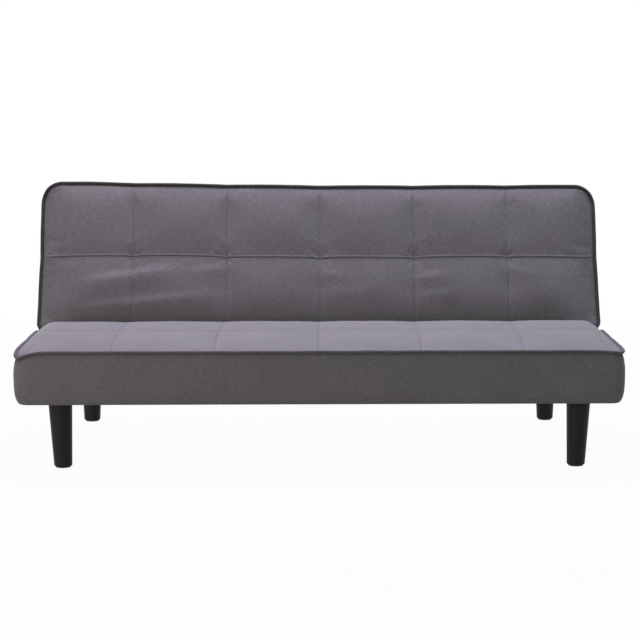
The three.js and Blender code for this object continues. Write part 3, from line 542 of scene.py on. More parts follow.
@dataclass(frozen=True)
class Swelling:
    """A pressure simulation of the quilted cloth, held down along its seams."""

    spacing: float = 8.5 * MM
    frames: int = 20
    pressure: float = 4.0
    spare_cloth: float = 0.012
    cap: float = 14 * MM

    def run(self, points: Array, held: Array) -> Array:
        """Swells a sheet.

        Args:
            points: The sheet at the start, rows by columns by 3.
            held: One where a point stays, nought where it is free.

        Returns:
            How far each point moved, capped, in the layout of the points.
        """
        draft = MeshDraft()
        draft.patch(draft.points(points))
        sheet = draft.build("swelling_sheet", UPHOLSTERY.material())
        pins = sheet.vertex_groups.new(name="held")
        pins.add(np.flatnonzero(held.ravel() > 0).tolist(), 1.0, "REPLACE")
        cloth = sheet.modifiers.new("swell", "CLOTH")
        values = dict(
            quality=6, mass=0.15, tension_stiffness=18, compression_stiffness=18, shear_stiffness=6,
            bending_stiffness=0.4, air_damping=2, use_pressure=True, uniform_pressure_force=self.pressure,
            shrink_min=-self.spare_cloth, vertex_group_mass=pins.name,
        )
        for name, value in values.items():
            setattr(cloth.settings, name, value)
        cloth.settings.effector_weights.gravity = 0
        cloth.point_cache.frame_start, cloth.point_cache.frame_end = 1, self.frames
        scene = bpy.context.scene
        for number in range(1, self.frames + 1):
            scene.frame_set(number)
        evaluated = sheet.evaluated_get(bpy.context.evaluated_depsgraph_get())
        moved = np.zeros(points.size, np.float32)
        evaluated.data.vertices.foreach_get("co", moved)
        bpy.data.objects.remove(sheet)
        scene.frame_set(1)
        travel = moved.reshape(points.shape) - points
        reach = np.linalg.norm(travel, axis=-1, keepdims=True)
        return travel * np.minimum(1, self.cap / np.maximum(reach, 1e-9))


def curve_weights(known: Array, wanted: Array) -> Array:
    """Weights that read a smooth curve through evenly spaced values.

    A cubic through the four nearest values, whose slope at a value is half the difference
    of its neighbours. Past the ends the last value is used.

    Args:
        known: Where the values are.
        wanted: Where the curve is read.

    Returns:
        A matrix that turns the values into the readings.
    """
    place = (wanted - known[0]) / (known[1] - known[0])
    cell = np.clip(np.floor(place).astype(int), 0, len(known) - 2)
    t = np.clip(place - cell, 0, 1)
    parts = (-t + 2 * t**2 - t**3, 2 - 5 * t**2 + 3 * t**3, t + 4 * t**2 - 3 * t**3, -(t**2) + t**3)
    weights = np.zeros((len(wanted), len(known)))
    for offset, part in zip((-1, 0, 1, 2), parts):
        np.add.at(weights, (np.arange(len(wanted)), np.clip(cell + offset, 0, len(known) - 1)), part / 2)
    return weights


@dataclass(frozen=True)
class Fold:
    """A soft wrinkle: a low ridge from a left place to a right one, with two flanks."""

    start: tuple
    end: tuple
    height: float
    upper: float
    lower: float

    def rise(self, x: Array, y: Array) -> Array:
        """The ridge's height: tapered at its ends, with flanks that fall as bells."""
        (x0, y0), (x1, y1) = self.start, self.end
        dx, dy = x1 - x0, y1 - y0
        share = ((x - x0) * dx + (y - y0) * dy) / (dx * dx + dy * dy)
        off = ((y - y0) * dx - (x - x0) * dy) / math.hypot(dx, dy)
        taper = np.sin(math.pi * np.clip(share, 0, 1)) ** 0.9
        return self.height * taper * bell(off, np.where(off > 0, self.upper, self.lower))


class Spots:
    """Places on a cushion's square-cornered plan, and what is near them.

    The distances are to the nearest side, the near and the far edge, the closer end of
    those two, and the nearest edge of all. Those to the nearest seams are signed.
    """

    def __init__(self, cushion: "QuiltedCushion", x: Array, y: Array) -> None:
        """Measures the distances."""
        self.x, self.y = x, y
        self.side, self.near, self.far = cushion.half_x - np.abs(x), y - cushion.near, cushion.far - y
        self.end = np.minimum(self.near, self.far)
        self.edge = np.minimum(self.side, self.end)
        self.seam_x, self.seam_y = (
            values - seams[1:-1][np.abs(values[..., None] - seams[1:-1]).argmin(axis=-1)]
            for values, seams in ((x, cushion.seams_x), (y, cushion.seams_y))
        )


@dataclass
class QuiltedCushion:
    """A boxed cushion with a stitched grid on its face and piping in the seam round it.

    It is worked out flat, face up. Its outline is measured at the piping seam. An opening
    is a slot in the boxed side by the hinges: its limits across, and its top. A span is
    where something is still nought, and where it has grown whole.
    """

    name: str
    body: Body
    piping: Finish
    low: Array
    high: Array
    place: Callable[[Array], Array]
    openings: list
    thickness: float
    near_radius: float
    far_radius: float
    lower_edge: float
    crown: float
    puff: float
    tuft: float
    scallop: float
    corner_droop: float
    seam_dip: float
    cross_dip: float
    bow: float
    near_reach: float
    near_power: float
    fill: float
    seed: int
    rim: float = 0.0
    lip: float = 0.0
    far_lift: float = 0.0
    side_crown: float = 0.0
    side_reach: float = 110 * MM
    valley: float = 0.0
    near_drop: float = 0.0
    seam_drift: float = 0.0
    seam_shift: float = 0.0
    flare: float = 0.0
    skew: float = 0.0
    folds: tuple = ()
    columns: int = 6
    rows: int = 2
    end_column_share: float = 0.95
    column_steps: int = 48
    row_steps: int = 46
    gather: float = 0.8
    piping_radius: float = 5 * MM
    piping_gap: float = 0.6 * MM
    piping_sides: int = 14
    far_reach: float = 50 * MM
    rim_reach: float = 15 * MM
    tuft_reach: float = 52 * MM
    droop_reach: float = 120 * MM
    boxing_swell: float = 1.5 * MM
    swell_end: float = 0.62
    hinge_span: tuple = (50 * MM, 140 * MM)
    drift_span: tuple = (-0.33, -0.08)
    skew_span: tuple = (0.3, -0.56)
    lift_span: tuple = (0.15, -0.7)
    seam_width: float = 1.6 * MM
    cross_width: float = 1.4 * MM
    lip_width: float = 1.9 * MM
    valley_reach: float = 45 * MM
    drift_reach: float = 90 * MM
    scallop_reach: float = 40 * MM
    crease_reach: float = 26 * MM
    pucker: float = 0.55 * MM
    unevenness: float = 0.9 * MM
    side_shake: float = 1.1 * MM
    side_gathers: float = 0.5 * MM
    hem: float = 8 * MM
    cloth_thickness: float = 1.6 * MM
    stitch_pitch: float = 6.4 * MM
    stitch_length: float = 4.4 * MM
    stitch_radius: float = 0.62 * MM
    swelling: Swelling = Swelling()

    def __post_init__(self) -> None:
        """Works out the seams' places from the cover's box."""
        self.seam_inset = 2 * self.piping_radius + self.piping_gap
        self.half_x = self.high[0] - self.seam_inset
        self.near, self.far = self.low[1] + self.seam_inset, self.high[1] - self.seam_inset
        self.seam_z = self.low[2] + self.thickness
        pitch = 2 * self.half_x / (self.columns - 2 + 2 * self.end_column_share)
        inner = pitch * (np.arange(self.columns - 1) - (self.columns - 2) / 2) + self.seam_shift
        self.seams_x = np.concatenate([[-self.half_x], inner, [self.half_x]])
        self.seams_y = np.linspace(self.near, self.far, self.rows + 1)

    def lines(self, seams: Array, steps: int) -> Array:
        """Grid lines over a row of panels, drawn together towards each seam.

        The even share s of a line within its panel becomes s - gather * sin(2 pi s) / (2 pi).
        """
        even = np.linspace(0, 1, steps + 1)[:-1]
        eased = even - self.gather * np.sin(2 * math.pi * even) / (2 * math.pi)
        return np.append((seams[:-1, None] + np.diff(seams)[:, None] * eased).ravel(), seams[-1])

    def panel_bump(self, value: Array, seams: Array, power: float = 1.0) -> Array:
        """Nought at each seam and one in the middle of each panel: a power of a half sine."""
        return np.abs(np.sin(math.pi * np.interp(value, seams, np.arange(len(seams))))) ** power

    def share(self, y: Array) -> Array:
        """How far a place lies from the near edge to the far one, from nought to one."""
        return ramp(y, self.near, self.far)

    def height(self, s: Spots, puff_share: float) -> Array:
        """The face's height over the level of its seam, with a share of the panels' bulge.

        A crown that rises from the edges as a parabola, a bulge over each panel, and a dip
        at each crossing of two seams, less a droop towards the corners.
        """
        far_rise, side_rise = 1 - nearness(s.far, self.far_reach), 1 - nearness(s.side, self.far_reach)
        near_rise = 1 - (1 - ramp(s.near, 0, self.near_reach)) ** self.near_power
        bumps = self.panel_bump(s.x, self.seams_x) * self.panel_bump(s.y, self.seams_y)
        droop = nearness(s.side, self.droop_reach) * nearness(s.end, self.droop_reach)
        droop = droop * (1 - 0.5 * s.x / self.half_x * np.where(s.near < s.far, 1, -1))
        past_hinge = ramp(s.side, *self.hinge_span)
        rim = (1 - nearness(s.side, self.rim_reach)) * (1 - nearness(s.end, self.rim_reach))
        return (
            self.crown * far_rise * side_rise * near_rise
            + self.rim * rim
            - self.side_crown * nearness(s.side, self.side_reach) * far_rise * near_rise
            + self.puff * puff_share * bumps
            - self.tuft * nearness(np.hypot(s.seam_x, s.seam_y), self.tuft_reach)
            - self.corner_droop * droop
            - self.near_drop * nearness(s.near, self.near_reach) * past_hinge**2 * (3 - 2 * past_hinge)
        )

    def stitched_detail(self, s: Spots) -> Array:
        """What sewing does to the face: grooves, puckers, a lip, creases and soft wrinkles."""
        valley = self.valley * nearness(np.abs(s.seam_y), self.valley_reach)
        dip_x = self.seam_dip * bell(s.seam_x, self.seam_width)
        dip_y = self.cross_dip * bell(s.seam_y, self.cross_width)
        lip = bell(s.seam_y - 3.3 * MM, self.lip_width) + 0.4 * bell(s.seam_y + 3.0 * MM, self.lip_width)
        lip = self.lip * (lip + 0.35 * bell(s.seam_x + 3.2 * MM, self.lip_width))
        pucker_x = np.exp(-np.abs(s.seam_x) / (9 * MM)) * ripple(0.0, s.y, self.seed, 23, 31, 47)
        pucker_y = np.exp(-np.abs(s.seam_y) / (11 * MM)) * ripple(s.x, 0.0, self.seed + 1, 27, 38, 61)
        uneven = ripple(s.x, s.y, self.seed + 2, 110, 170, 290, 410)
        ring = np.hypot(s.seam_x, s.seam_y) / self.crease_reach
        creases = np.sin(7 * np.arctan2(s.seam_y, s.seam_x) + 9 * s.x) * ring * bell(ring, 1)
        wrinkles = sum(fold.rise(s.x, s.y) for fold in self.folds)
        return ramp(s.edge, 0, 12 * MM) * (
            lip - valley - np.maximum(dip_x, dip_y) + self.pucker * (pucker_x + pucker_y)
            + self.unevenness * uneven + self.tuft * 0.22 * creases + wrinkles
        )

    def outline(self, s: Spots) -> tuple[Array, Array, Array]:
        """Rounds the corners of the plan.

        Args:
            s: Places on the square-cornered plan.

        Returns:
            The places on the rounded plan, the direction that faces out, and how far a
            stitched seam that ends there pulls the outline in, from nought to one.
        """
        middle, half = (self.near + self.far) / 2, (self.far - self.near) / 2
        offset = np.stack([s.x, s.y - middle], axis=-1)
        radius = np.where(s.y < middle, self.near_radius, self.far_radius)[..., None]
        plan, ahead, corner = round_corners(offset, np.array([self.half_x, half]), radius)
        on_side = s.side < s.end
        side_out = np.where(offset < 0, -1.0, 1.0) * np.stack([on_side, ~on_side], axis=-1)
        pull_x = nearness(np.abs(s.seam_x), (self.seams_x[1] - self.seams_x[0]) / 2)
        pull_y = nearness(np.abs(s.seam_y), (self.seams_y[1] - self.seams_y[0]) / 2)
        pull = np.where(corner[..., 0], 0, np.where(on_side, pull_y, pull_x))
        return plan + [0, middle], np.where(corner, unit(ahead), side_out), pull

    def face(self, xs: Array, ys: Array, puff_share: float, detail: bool) -> Array:
        """The face's points on a grid of lines, rows by columns by 3."""
        s = Spots(self, *np.meshgrid(xs, ys))
        plan, out, pull = self.outline(s)
        plan = plan - (self.scallop * pull * np.exp(-s.edge / self.scallop_reach))[..., None] * out
        uneven = ripple(s.x, 0.0, self.seed + 4, 310, 470, 830)
        drift = self.bow * (self.panel_bump(s.x, self.seams_x, 0.4) - 0.7 + 0.5 * uneven)
        drift = drift - self.seam_drift * ramp(s.x, *self.drift_span)
        plan[..., 1] += drift * nearness(np.abs(s.seam_y), self.drift_reach) * ramp(s.edge, 0, 50 * MM)
        skew = self.skew * (1 - 0.75 * self.share(s.y)) * ramp(s.x, *self.skew_span)
        plan[..., 0] -= skew * ramp(s.side, 0, 0.25)
        plan[..., 0] *= self.widening(plan[..., 1])
        plan[..., 1] += self.lift(*np.moveaxis(plan, -1, 0))
        z = self.seam_z + self.height(s, puff_share) + (self.stitched_detail(s) if detail else 0)
        return np.concatenate([plan, z[..., None]], axis=-1)

    def lift(self, x: Array, y: Array) -> Array:
        """How much further the far edge reaches where the cover was pulled on unevenly."""
        return self.far_lift * self.share(y) ** 2 * (0.18 + ramp(x, *self.lift_span) ** 1.5)

    def widening(self, y: Array) -> Array:
        """How much wider the cover is towards its near edge, where it isn't stretched."""
        return 1 + self.flare * (1 - self.share(y)) ** 2 / self.half_x

    def swollen_face(self, xs: Array, ys: Array) -> Array:
        start_share = 0.45
        ways = []
        for count, seams, wanted in ((self.columns, self.seams_x, xs), (self.rows, self.seams_y, ys)):
            per = round((seams[2] - seams[1]) / self.swelling.spacing)
            share = np.linspace(0, count, count * per + 1)
            even = np.interp(share, np.arange(count + 1), seams)
            ways.append((per, even, curve_weights(share, np.interp(wanted, even, share))))
        (per_x, even_x, across), (per_y, even_y, along) = ways
        start = self.face(even_x, even_y, start_share, detail=False)
        held = np.zeros(start.shape[:2])
        held[:, ::per_x] = held[::per_y] = 1
        travel = self.swelling.run(start, held)
        centres = travel[per_y // 2 :: per_y, per_x // 2 :: per_x, 2]
        travel *= (1 - start_share) * self.puff / max(float(np.median(centres)), 1 * MM)
        return self.face(xs, ys, start_share, detail=True) + np.stack(
            [along @ travel[..., i] @ across.T for i in range(3)], axis=-1)

    def boxing_levels(self) -> list:
        """Rings down the boxed side.

        The side swells out as 1 - (1 - d)^4 down to a little below its middle. Below that
        it turns in round the lower edge as a quarter of an ellipse.

        Returns:
            Three columns with a number for each ring: the share of the height below the
            seam, of the full outward swell, and of the lower edge that has turned in.
        """
        upper = np.linspace(0, 1, 15)[1:] ** 1.6
        lower = np.linspace(0, math.pi / 2, 13)[1:]
        down = np.append(self.swell_end * upper, self.swell_end + (1 - self.swell_end) * np.sin(lower))
        swell = np.append(1 - (1 - upper) ** 4, np.ones(len(lower)))
        tuck = np.append(np.zeros(len(upper)), 1 - np.cos(lower))
        order = np.unique([*down, *((self.seam_z - top) / self.thickness for _, _, top in self.openings)])
        return [np.interp(order, down, values)[:, None] for values in (down, swell, tuck)]

    def loop(self, grid: Array) -> Array:
        """The edge of a grid as one line, right along the near side first."""
        return np.concatenate([grid[0, :-1], grid[:-1, -1], grid[-1, :0:-1], grid[:0:-1, 0]])

    def build(self) -> None:
        """Makes the cover, its piping and its stitching."""
        edges = [edge for opening in self.openings for edge in opening[:2]]
        xs = np.unique(np.append(self.lines(self.seams_x, self.column_steps), edges))
        ys = self.lines(self.seams_y, self.row_steps)
        grid = np.meshgrid(xs, ys)
        top = self.swollen_face(xs, ys)
        rim, spots = self.loop(top), Spots(self, *map(self.loop, grid))
        draft = MeshDraft()
        ids = draft.points(self.place(top))
        draft.patch(ids, np.stack(grid, axis=-1))
        self.add_boxing(draft, self.loop(ids), rim, spots)
        cover = draft.piece(f"{self.name}_quilted_cover", UPHOLSTERY, self.body, f"{self.name}_cover")
        thicken(cover, self.cloth_thickness)
        self.build_piping(rim, self.outline(spots)[1])
        self.build_stitching(top, xs, ys)

    def add_boxing(self, draft: MeshDraft, ids: Array, rim: Array, s: Spots) -> None:
        """Adds the boxed side below the face's edge, with its openings, and the hem under it.

        Args:
            draft: The cover's mesh.
            ids: The numbers of the points round the face's edge.
            rim: Those points.
            s: Their places on the square-cornered plan.
        """
        plan, out, pull = self.outline(s)
        plan[:, 0] *= self.widening(plan[:, 1])
        down, swell, tuck = self.boxing_levels()
        length = distance_along(looped(rim))
        shake = ripple(length[:-1], down * self.thickness, self.seed + 5, 90, 140, 230, 350)
        gathers = ripple(length[:-1], 0.0, self.seed + 6, 21, 29, 43) * np.exp(-down * 9) * down * 9
        offset = (
            (self.seam_inset + self.boxing_swell) * swell - self.lower_edge * tuck
            - self.scallop * pull * (1 - down)
            + self.side_shake * shake * np.sin(math.pi * np.clip(down, 0, 1)) + self.side_gathers * gathers
        )
        rings = np.empty((len(down), len(rim), 3))
        rings[..., :2] = plan + offset[..., None] * out
        rings[..., 1] += self.lift(*plan.T) * (1 - down)
        rings[..., 2] = self.seam_z - self.thickness * down + (rim[:, 2] - self.seam_z) * (1 - down)
        hem = rings[-1:].copy()
        hem[..., :2] -= self.hem * out
        under = draft.points(self.place(np.concatenate([rings, hem])))
        below = np.concatenate([[0], down[:, 0], [1 + self.hem / self.thickness]]) * self.thickness
        uv = np.stack(np.broadcast_arrays(length, -below[:, None]), axis=-1)
        grid = looped(np.concatenate([ids[None], under]), 1)
        draft.patch(grid, uv, keep=self.kept_faces(below, s), flip=True)

    def kept_faces(self, below: Array, s: Spots) -> Array:
        """Which faces of the boxed side are there, outside the openings."""
        by_hinge = (s.far if self.body is Body.SEAT else s.near) == 0
        by_hinge = by_hinge & np.roll(by_hinge, -1)
        middle = (s.x + np.roll(s.x, -1)) / 2
        level = self.seam_z - (below[:-1, None] + below[1:, None]) / 2
        keep = np.ones((len(level), len(middle)), bool)
        for low, high, top in self.openings:
            keep &= ~((level < top) & by_hinge & (middle > low) & (middle < high))
        return keep

    def build_piping(self, rim: Array, out: Array) -> None:
        """A cloth-covered cord in the seam's groove, a little uneven along its length."""
        out = np.pad(out, ((0, 0), (0, 1)))
        length = distance_along(rim)
        uneven = 1 + 0.05 * ripple(length, 0.0, self.seed + 8, 19, 33, 71)
        path = rim + (self.piping_radius + self.piping_gap) * out
        path[:, 2] += 0.5 * MM * ripple(length, 0.0, self.seed + 9, 90, 160, 270)
        section = circle(self.piping_radius, self.piping_sides) * uneven[:, None, None]
        draft = MeshDraft()
        swept(draft, *carried(self.place, path, out, AXES[2]), section, closed=True)
        draft.piece(f"{self.name}_welt", self.piping, self.body, f"{self.name}_piping")

    def build_stitching(self, top: Array, xs: Array, ys: Array) -> None:
        """Short stitches of thread in the grooves of the sewn grid."""
        down_grid, across_grid = np.gradient(top, axis=(0, 1))
        normals = unit(np.cross(across_grid, down_grid))
        seams = [(top[:, i], normals[:, i]) for i in np.searchsorted(xs, self.seams_x[1:-1])]
        seams += [(top[j], normals[j]) for j in np.searchsorted(ys, self.seams_y[1:-1])]
        draft = MeshDraft()
        for line, normal in seams:
            length = distance_along(line)
            count = int((length[-1] - 4 * self.stitch_pitch) / self.stitch_pitch)
            where = 2 * self.stitch_pitch + (np.arange(count) + 0.5) * self.stitch_pitch
            centre, upward = interpolated(where, length, line), unit(interpolated(where, length, normal))
            direction = np.gradient(centre, axis=0)
            direction = unit(direction - (direction * upward).sum(axis=1, keepdims=True) * upward)
            centre = centre + 0.25 * self.stitch_radius * upward
            spots = carried(self.place, centre, direction, upward)
            capsules(draft, spots, self.stitch_length, self.stitch_radius)
        draft.piece(f"{self.name}_stitching", THREAD, self.body)


@dataclass
class Hinge:
    """Where the backrest turns, and how far it is turned up from lying flat."""

    y: float
    z: float
    raised: float

    @classmethod
    def from_frame(cls) -> "Hinge":
        """Reads the fold joint from the frame."""
        joint = next(j for j in frame["joints"] if j["name"] == "backrest_fold")
        return cls(*joint["pos_m"][1:], math.radians(-min(joint["range_deg"])))

    def turn(self, points: Array, angle: float) -> Array:
        """Turns points about the hinge's line, which runs across the sofa."""
        x, y, z = np.moveaxis(points, -1, 0)
        y, z, cosine, sine = y - self.y, z - self.z, math.cos(angle), math.sin(angle)
        return np.stack([x, self.y + y * cosine - z * sine, self.z + y * sine + z * cosine], axis=-1)

    def raise_up(self, points: Array) -> Array:
        """Turns points from lying flat to upright."""
        return self.turn(points, self.raised)

    def flat_box(self, node: str) -> tuple[Array, Array]:
        """The lowest and highest corners of a node of the backrest as it lies flat."""
        mesh = frame["nodes"][node].data
        points = np.empty((len(mesh.vertices), 3))
        mesh.vertices.foreach_get("co", points.ravel())
        flat = self.turn(points, -self.raised)
        return flat.min(axis=0), flat.max(axis=0)


def node_box(node: str) -> Array:
    """The lowest and highest corners of a node at rest."""
    return np.array(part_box(node))


def slots_for(node: str, clearance: float, top: Optional[float] = None) -> list:
    """The openings that let a left and a right node through a cushion's side, with some room."""
    boxes = [node_box(f"{node}_{side}") for side in SIDES]
    return [(low[0] - clearance, high[0] + clearance, top or high[2] + clearance) for low, high in boxes]


def seat_cushion(hinge: Hinge) -> QuiltedCushion:
    """The seat: a thick slab with a low quilted face."""
    low, high = node_box("seat_cover")
    openings = slots_for("hinge_pin", 3 * MM, hinge.z + 12 * MM) + slots_for("base_tube", MM)
    return QuiltedCushion(
        "seat", Body.SEAT, SEAT_PIPING, low, high, unmoved, openings, thickness=146 * MM,
        near_radius=30 * MM, far_radius=30 * MM, lower_edge=18 * MM, crown=28 * MM, puff=7 * MM, tuft=3 * MM,
        scallop=1.5 * MM, corner_droop=12 * MM, seam_dip=1.0 * MM, cross_dip=1.0 * MM, bow=5 * MM,
        near_reach=200 * MM, near_power=1.3, fill=0.75, seed=11, valley=3.5 * MM, droop_reach=80 * MM,
        skew=11 * MM,
    )


# Wrinkles in the backrest's lower panels: the left and the right end, each as its place
# across and its distance below the cross seam in metres, then the height and the widths of
# the upper and the lower flank in mm.
BACK_WRINKLES = (
    (-0.730, 0.083, -0.405, 0.036, 8.0, 14, 42),
    (-0.395, 0.048, -0.265, 0.034, 3.0, 12, 24),
    (-0.740, 0.157, -0.300, 0.116, 5.2, 12, 36),
    (0.255, 0.074, 0.400, 0.052, 4.0, 12, 28),
    (0.270, 0.122, 0.430, 0.112, 2.0, 12, 26),
    (0.540, 0.030, 0.660, 0.062, 2.0, 11, 24),
    (-0.030, 0.052, 0.110, 0.056, 1.8, 10, 26),
    (-0.010, 0.110, 0.160, 0.108, 1.4, 12, 26),
)


def back_cushion(hinge: Hinge) -> QuiltedCushion:
    """The backrest's cushion: thinner, with deeper tufts, and wrinkles in its lower panels."""
    low, high = hinge.flat_box("back_cover")
    middle = (low[1] + high[1]) / 2
    folds = tuple(
        Fold((x0, middle - y0), (x1, middle - y1), *(size * MM for size in sizes))
        for x0, y0, x1, y1, *sizes in BACK_WRINKLES
    )
    openings = slots_for("hinge_pin", 3 * MM, hinge.z + 12 * MM)
    return QuiltedCushion(
        "back", Body.BACK, BACK_PIPING, low, high, hinge.raise_up, openings, thickness=118 * MM,
        near_radius=16 * MM, far_radius=52 * MM, lower_edge=16 * MM, crown=6 * MM, puff=7.2 * MM, tuft=6 * MM,
        scallop=2 * MM, corner_droop=4 * MM, seam_dip=0.9 * MM, cross_dip=1.1 * MM, bow=4 * MM,
        near_reach=110 * MM, near_power=2.0, fill=0.7, seed=23, rim=3.2 * MM, lip=1.9 * MM, far_lift=14 * MM,
        side_crown=13 * MM, near_drop=12 * MM, seam_drift=4 * MM, seam_shift=4.5 * MM, flare=3.5 * MM,
        folds=folds,
    )


@dataclass
class TaperedLeg:
    """A moulded leg that leans a little, round at its foot, with the glide under it."""

    corner: str
    foot_radius: float = 25.2 * MM
    top_radius: float = 33.6 * MM
    foot_round: float = 3.5 * MM
    glide_round: float = 1.2 * MM
    sides: int = 72

    def build(self) -> None:
        """Makes the leg, which widens evenly towards its top, and its glide."""
        low, high = node_box(f"leg_{self.corner}")
        foot, head = (node_box(f"{node}_{self.corner}").mean(axis=0) for node in ("glide", "leg_stud"))
        turn = np.linspace(0, math.pi / 2, 9)
        rise = np.linspace(0, 1, 24)[1:] ** 1.2
        bottom = low[2] + self.foot_round
        z = np.append(low[2] + self.foot_round * (1 - np.cos(turn)), bottom + (high[2] - bottom) * rise)
        share = (z - low[2]) / (high[2] - low[2])
        radius = self.foot_radius + (self.top_radius - self.foot_radius) * share
        radius[: len(turn)] -= self.foot_round * (1 - np.sin(turn))
        self.round_piece("moulded_leg", LEG_PLASTIC, "leg", foot + (head - foot) * share[:, None], z, radius)
        self.build_glide(foot)

    def round_piece(self, name: str, finish: Finish, node: str, path: Array, z: Array, radius: Array) -> None:
        """A round solid about a path at the heights z, with a radius at each."""
        draft = upright(np.column_stack([path[:, :2], z]), circle(1.0, self.sides) * radius[:, None, None])
        draft.piece(f"{name}_{self.corner}", finish, Body.SEAT, f"{node}_{self.corner}")

    def build_glide(self, foot: Array) -> None:
        """A floor glide with a round edge and a shallow ring worn into its face."""
        low, high = node_box(f"glide_{self.corner}")
        edge = (high[0] - low[0]) / 2
        turn = np.linspace(0, math.pi / 2, 6)
        ring = edge * np.array([0.62, 0.66, 0.7])
        radius = np.concatenate([ring, edge - self.glide_round * (1 - np.sin(turn)), [edge]])
        rise = np.append([0.35 * MM, 0.35 * MM, 0.0], self.glide_round * (1 - np.cos(turn)))
        z = np.append(low[2] + rise, high[2])
        self.round_piece("floor_glide", GLIDE_PLASTIC, "glide", np.tile(foot, (len(z), 1)), z, radius)


@dataclass
class SteelBase:
    """Two rounded box tubes under the seat, the tube that joins them, caps, welds and bumpers."""

    wall: float = 2 * MM
    corner_radius: float = 3 * MM
    cap_thickness: float = 1.8 * MM
    weld_radius: float = 2.2 * MM
    weld_pitch: float = 2.6 * MM

    def tube(self, name: str, node: str, along: int) -> None:
        """An open box tube along axis number 0, across, or 1, from front to rear."""
        low, high = node_box(node)
        side = 1 - along
        half = (high - low)[[side, 2]] / 2
        path = np.tile((low + high) / 2, (4, 1))
        path[:, along] = np.repeat([low[along], high[along]], 2)
        outer = rounded_rectangle(half, self.corner_radius)
        inner = rounded_rectangle(half - self.wall, self.corner_radius - self.wall)
        draft = MeshDraft()
        section = np.stack([inner, outer, outer, inner])
        swept(draft, path, (2 * along - 1) * AXES[side], AXES[2], section, closed=True)
        edges = draft.piece(name, BLACK_STEEL, Body.SEAT, node).modifiers.new("edges", "BEVEL")
        edges.width, edges.segments, edges.limit_method = 0.4 * MM, 2, "ANGLE"

    def weld(self, side: str) -> None:
        """A rippled bead round the end of the joining tube."""
        low, high = node_box("base_cross_tube")
        middle, half = (low + high) / 2, (high - low) / 2
        outline = looped(rounded_rectangle(half[1:], self.corner_radius, 12))
        length = distance_along(outline)
        where = np.linspace(0, length[-1], 121)[:-1]
        x = np.full(len(where), high[0] if side == "right" else low[0])
        path = np.column_stack([x, middle[1:] + interpolated(where, length, outline)])
        tangent = unit(np.roll(path, -1, axis=0) - np.roll(path, 1, axis=0))
        bead = self.weld_radius * (1 + 0.16 * np.sin(where / self.weld_pitch * 2 * math.pi))
        draft = MeshDraft()
        section = circle(1.0, 10) * bead[:, None, None]
        swept(draft, path, np.cross(tangent, AXES[0]), AXES[0], section, closed=True)
        draft.piece(f"weld_{side}", BLACK_STEEL, Body.SEAT)

    def build(self) -> None:
        """Makes every piece of the base."""
        self.tube("cross_tube", "base_cross_tube", 0)
        for side in SIDES:
            self.tube(f"long_tube_{side}", f"base_tube_{side}", 1)
            self.weld(side)
            low, high = node_box(f"base_tube_{side}")
            low[1], high[1] = high[1], high[1] + self.cap_thickness
            rounded_block(low, high, 0.8 * MM).piece(f"tube_cap_{side}", GLIDE_PLASTIC, Body.SEAT)
            bumper = rounded_block(*node_box(f"bumper_{side}"), 2.5 * MM)
            bumper.piece(f"rubber_bumper_{side}", RUBBER, Body.SEAT, f"bumper_{side}")


